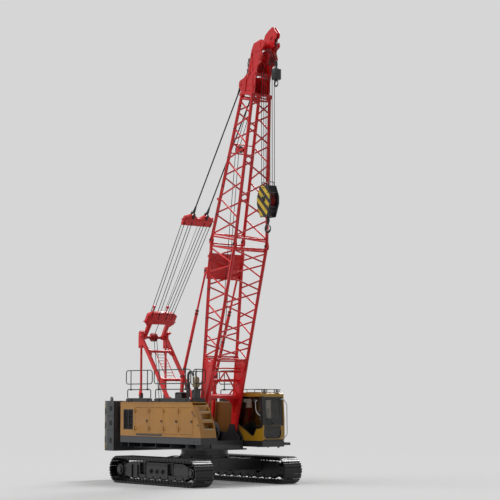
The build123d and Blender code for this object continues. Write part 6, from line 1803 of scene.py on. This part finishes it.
# ---------------------------------------------------------------- cab inside
# Two consoles with joysticks stand beside the seat on a ribbed mat, with pedals and a small screen ahead.
inside = bmesh.new()
for y in (0.93, 1.57):
    side_profile(inside, [(0.95, 1.56), (1.36, 1.56), (1.4, 2.02), (1.34, 2.12), (0.98, 2.08)], y, y + 0.11)
side_profile(inside, [(2.04, 1.57), (2.14, 1.57), (2.16, 2.02), (2.06, 2.1), (2.0, 1.95)], 0.9, 1.7)
slab(inside, (1.98, 0.9, 2.3), (2.05, 1.12, 2.52))
rod(inside, (2.09, 1.0, 2.05), (2.02, 1.0, 2.34), 0.015, 12)
for n in range(30):
    slab(inside, (0.68 + 0.048 * n, 0.89, 1.56), (0.7 + 0.048 * n, 1.74, 1.568))
for y in (1.2, 1.42):
    slab(inside, (1.955, y - 0.05, 1.62), (1.975, y + 0.05, 1.8))
    rod(inside, (1.965, y, 1.7), (2.05, y, 1.76), 0.01, 10)
slab(inside, (0.7, 0.95, 3.045), (2.0, 1.66, 3.085))
make("cab_consoles", inside, CAB_TRIM, 0.008)
levers = bmesh.new()
for y in (0.985, 1.625):
    for x in (1.2, 1.32):
        rod(levers, (x, y, 2.09), (x, y, 2.13), 0.045, 20, 0.018)
        rod(levers, (x, y, 2.12), (x + 0.02, y, 2.26), 0.01, 10)
        rod(levers, (x + 0.02, y, 2.24), (x + 0.03, y, 2.34), 0.022, 16, 0.028)
make("cab_levers", levers, RUBBER, 0.003)
screen = bmesh.new()
slab(screen, (1.974, 0.92, 2.32), (1.98, 1.1, 2.5))
make("cab_screen", screen, GLOSS_BLACK, 0.001)


# ---------------------------------------------------------------- operator's seat
# A sprung seat: foam cushions in dark woven cloth with sewn channels, on a box of black
# steel with a rubber bellows. Each cushion is blown up a little so that it crowns.
GROWTH = 0.016                  # the most that a cushion may swell at any point
WEAVE_CELL = 0.006              # size of a face before it swells
PRESSURE = 4.0
SWELL_FRAMES = 20
SEAM_REACH = 0.018


def seat_cloth():
    """Dark woven cloth: a fine over-and-under weave with a slightly mottled dye and a soft sheen."""
    material, tree, out = blank_material("seat_cloth")
    spot = object_place(tree)
    weave = put(tree, "TexWave", {"Vector": spot, "Scale": 160.0, "Distortion": 0.5}, bands_direction="Y")
    weft = put(tree, "TexWave", {"Vector": spot, "Scale": 160.0, "Distortion": 0.5}, bands_direction="DIAGONAL")
    woven = math(tree, "MAXIMUM", weave.outputs["Fac"], weft.outputs["Fac"])
    dye = put(tree, "TexNoise", {"Vector": spot, "Scale": 9.0, "Detail": 5.0})
    shade = ranged(tree, math(tree, "MULTIPLY", woven, dye), 0.1, 0.7, 0.7, 1.25)
    colour = toned(tree, (0.04, 0.042, 0.048, 1), shade)
    bump = put(tree, "Bump", {"Height": woven, "Strength": 0.5, "Distance": 0.001})
    body = put(tree, "BsdfPrincipled", {"Base Color": colour, "Roughness": 0.85, "Normal": bump,
        "Sheen Weight": 0.35})
    tree.links.new(body.outputs[0], out.inputs["Surface"])
    return material


SEAT_CLOTH = seat_cloth()


def cushion(name, low, high, edge, seams, rest_axis=None):
    """A foam cushion blown up in cloth, flat where it rests and sewn in along its seams."""
    bm = bmesh.new()
    slab(bm, low, high)
    bmesh.ops.bevel(bm, geom=list(bm.edges), offset=edge, segments=4, affect="EDGES")
    piece = bpy.data.objects.new(name, finish_mesh(bm, SEAT_CLOTH))
    scene.collection.objects.link(piece)
    remesh = piece.modifiers.new("remesh", "REMESH")
    remesh.mode = "VOXEL"
    remesh.voxel_size = WEAVE_CELL
    graph = bpy.context.evaluated_depsgraph_get()
    start = bpy.data.meshes.new_from_object(piece.evaluated_get(graph), depsgraph=graph)
    piece.modifiers.clear()
    piece.data = start
    before = [v.co.copy() for v in start.vertices]
    after = before
    cloth = piece.modifiers.new("swell", "CLOTH")
    cloth.settings.quality = 3
    cloth.settings.use_pressure = True
    cloth.settings.uniform_pressure_force = PRESSURE
    cloth.settings.effector_weights.gravity = 0.0
    cloth.point_cache.frame_start, cloth.point_cache.frame_end = 1, SWELL_FRAMES
    for step in range(1, SWELL_FRAMES + 1):
        scene.frame_set(step)
    graph = bpy.context.evaluated_depsgraph_get()
    swollen = piece.evaluated_get(graph).to_mesh()
    after = [v.co.copy() for v in swollen.vertices]
    piece.evaluated_get(graph).to_mesh_clear()
    piece.modifiers.clear()
    scene.frame_set(1)
    for vert, old, new in zip(start.vertices, before, after):
        move = new - old
        if move.length > GROWTH:
            move = move.normalized() * GROWTH
        place = old + move
        if rest_axis is not None:
            place[rest_axis] = max(place[rest_axis], low[rest_axis])
        for axis, value, depth in seams:
            place = place - vert.normal * max(0.0, 1.0 - abs(place[axis] - value) / SEAM_REACH) ** 2 * depth
        vert.co = place
    smooth = piece.modifiers.new("smooth", "SUBSURF")
    smooth.levels = smooth.render_levels = 1
    piece.data.polygons.foreach_set("use_smooth", [True] * len(piece.data.polygons))
    piece.data.materials.clear()
    piece.data.materials.append(SEAT_CLOTH)
    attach(piece, "upperworks")


cushion("seat_cushion", (0.905, 1.08, 1.925), (1.375, 1.53, 2.015), 0.035,
    [(1, 1.18, 0.007), (1, 1.43, 0.007), (0, 1.25, 0.006)])
cushion("seat_back", (0.832, 1.09, 2.05), (0.905, 1.52, 2.645), 0.03,
    [(1, 1.18, 0.007), (1, 1.43, 0.007), (2, 2.22, 0.006), (2, 2.48, 0.006)], rest_axis=0)
base = bmesh.new()
slab(base, (0.93, 1.105, 1.56), (1.37, 1.505, 1.62))
slab(base, (0.93, 1.105, 1.84), (1.37, 1.505, 1.905))
for y in (1.09, 1.49):
    side_profile(base, [(0.86, 1.88), (0.95, 1.88), (0.93, 2.1), (0.845, 2.1)], y, y + 0.03)
slab(base, (0.822, 1.14, 2.06), (0.838, 1.47, 2.62))
make("seat_frame", base, BLACK_PAINT, 0.006, replaces=("operator_seat",))
bellows = bmesh.new()


def bellows_ring(z, inset):
    """One square ring of the bellows' outline."""
    x0, x1, y0, y1 = 0.93 + inset, 1.37 - inset, 1.105 + inset, 1.505 - inset
    return [bellows.verts.new(p) for p in ((x0, y0, z), (x1, y0, z), (x1, y1, z), (x0, y1, z))]


FOLD = 0.01375                  # height of half a fold
for n in range(8):
    z = 1.62 + 2 * FOLD * n
    for lower, inset0, inset1 in ((z, 0.03, 0.01), (z + FOLD, 0.01, 0.03)):
        low, top = bellows_ring(lower, inset0), bellows_ring(lower + FOLD, inset1)
        for k in range(4):
            j = (k + 1) % 4
            bellows.faces.new((low[k], low[j], top[j], top[k]))
        bellows.faces.new(low[::-1])
        bellows.faces.new(top)
make("seat_bellows", bellows, RUBBER)
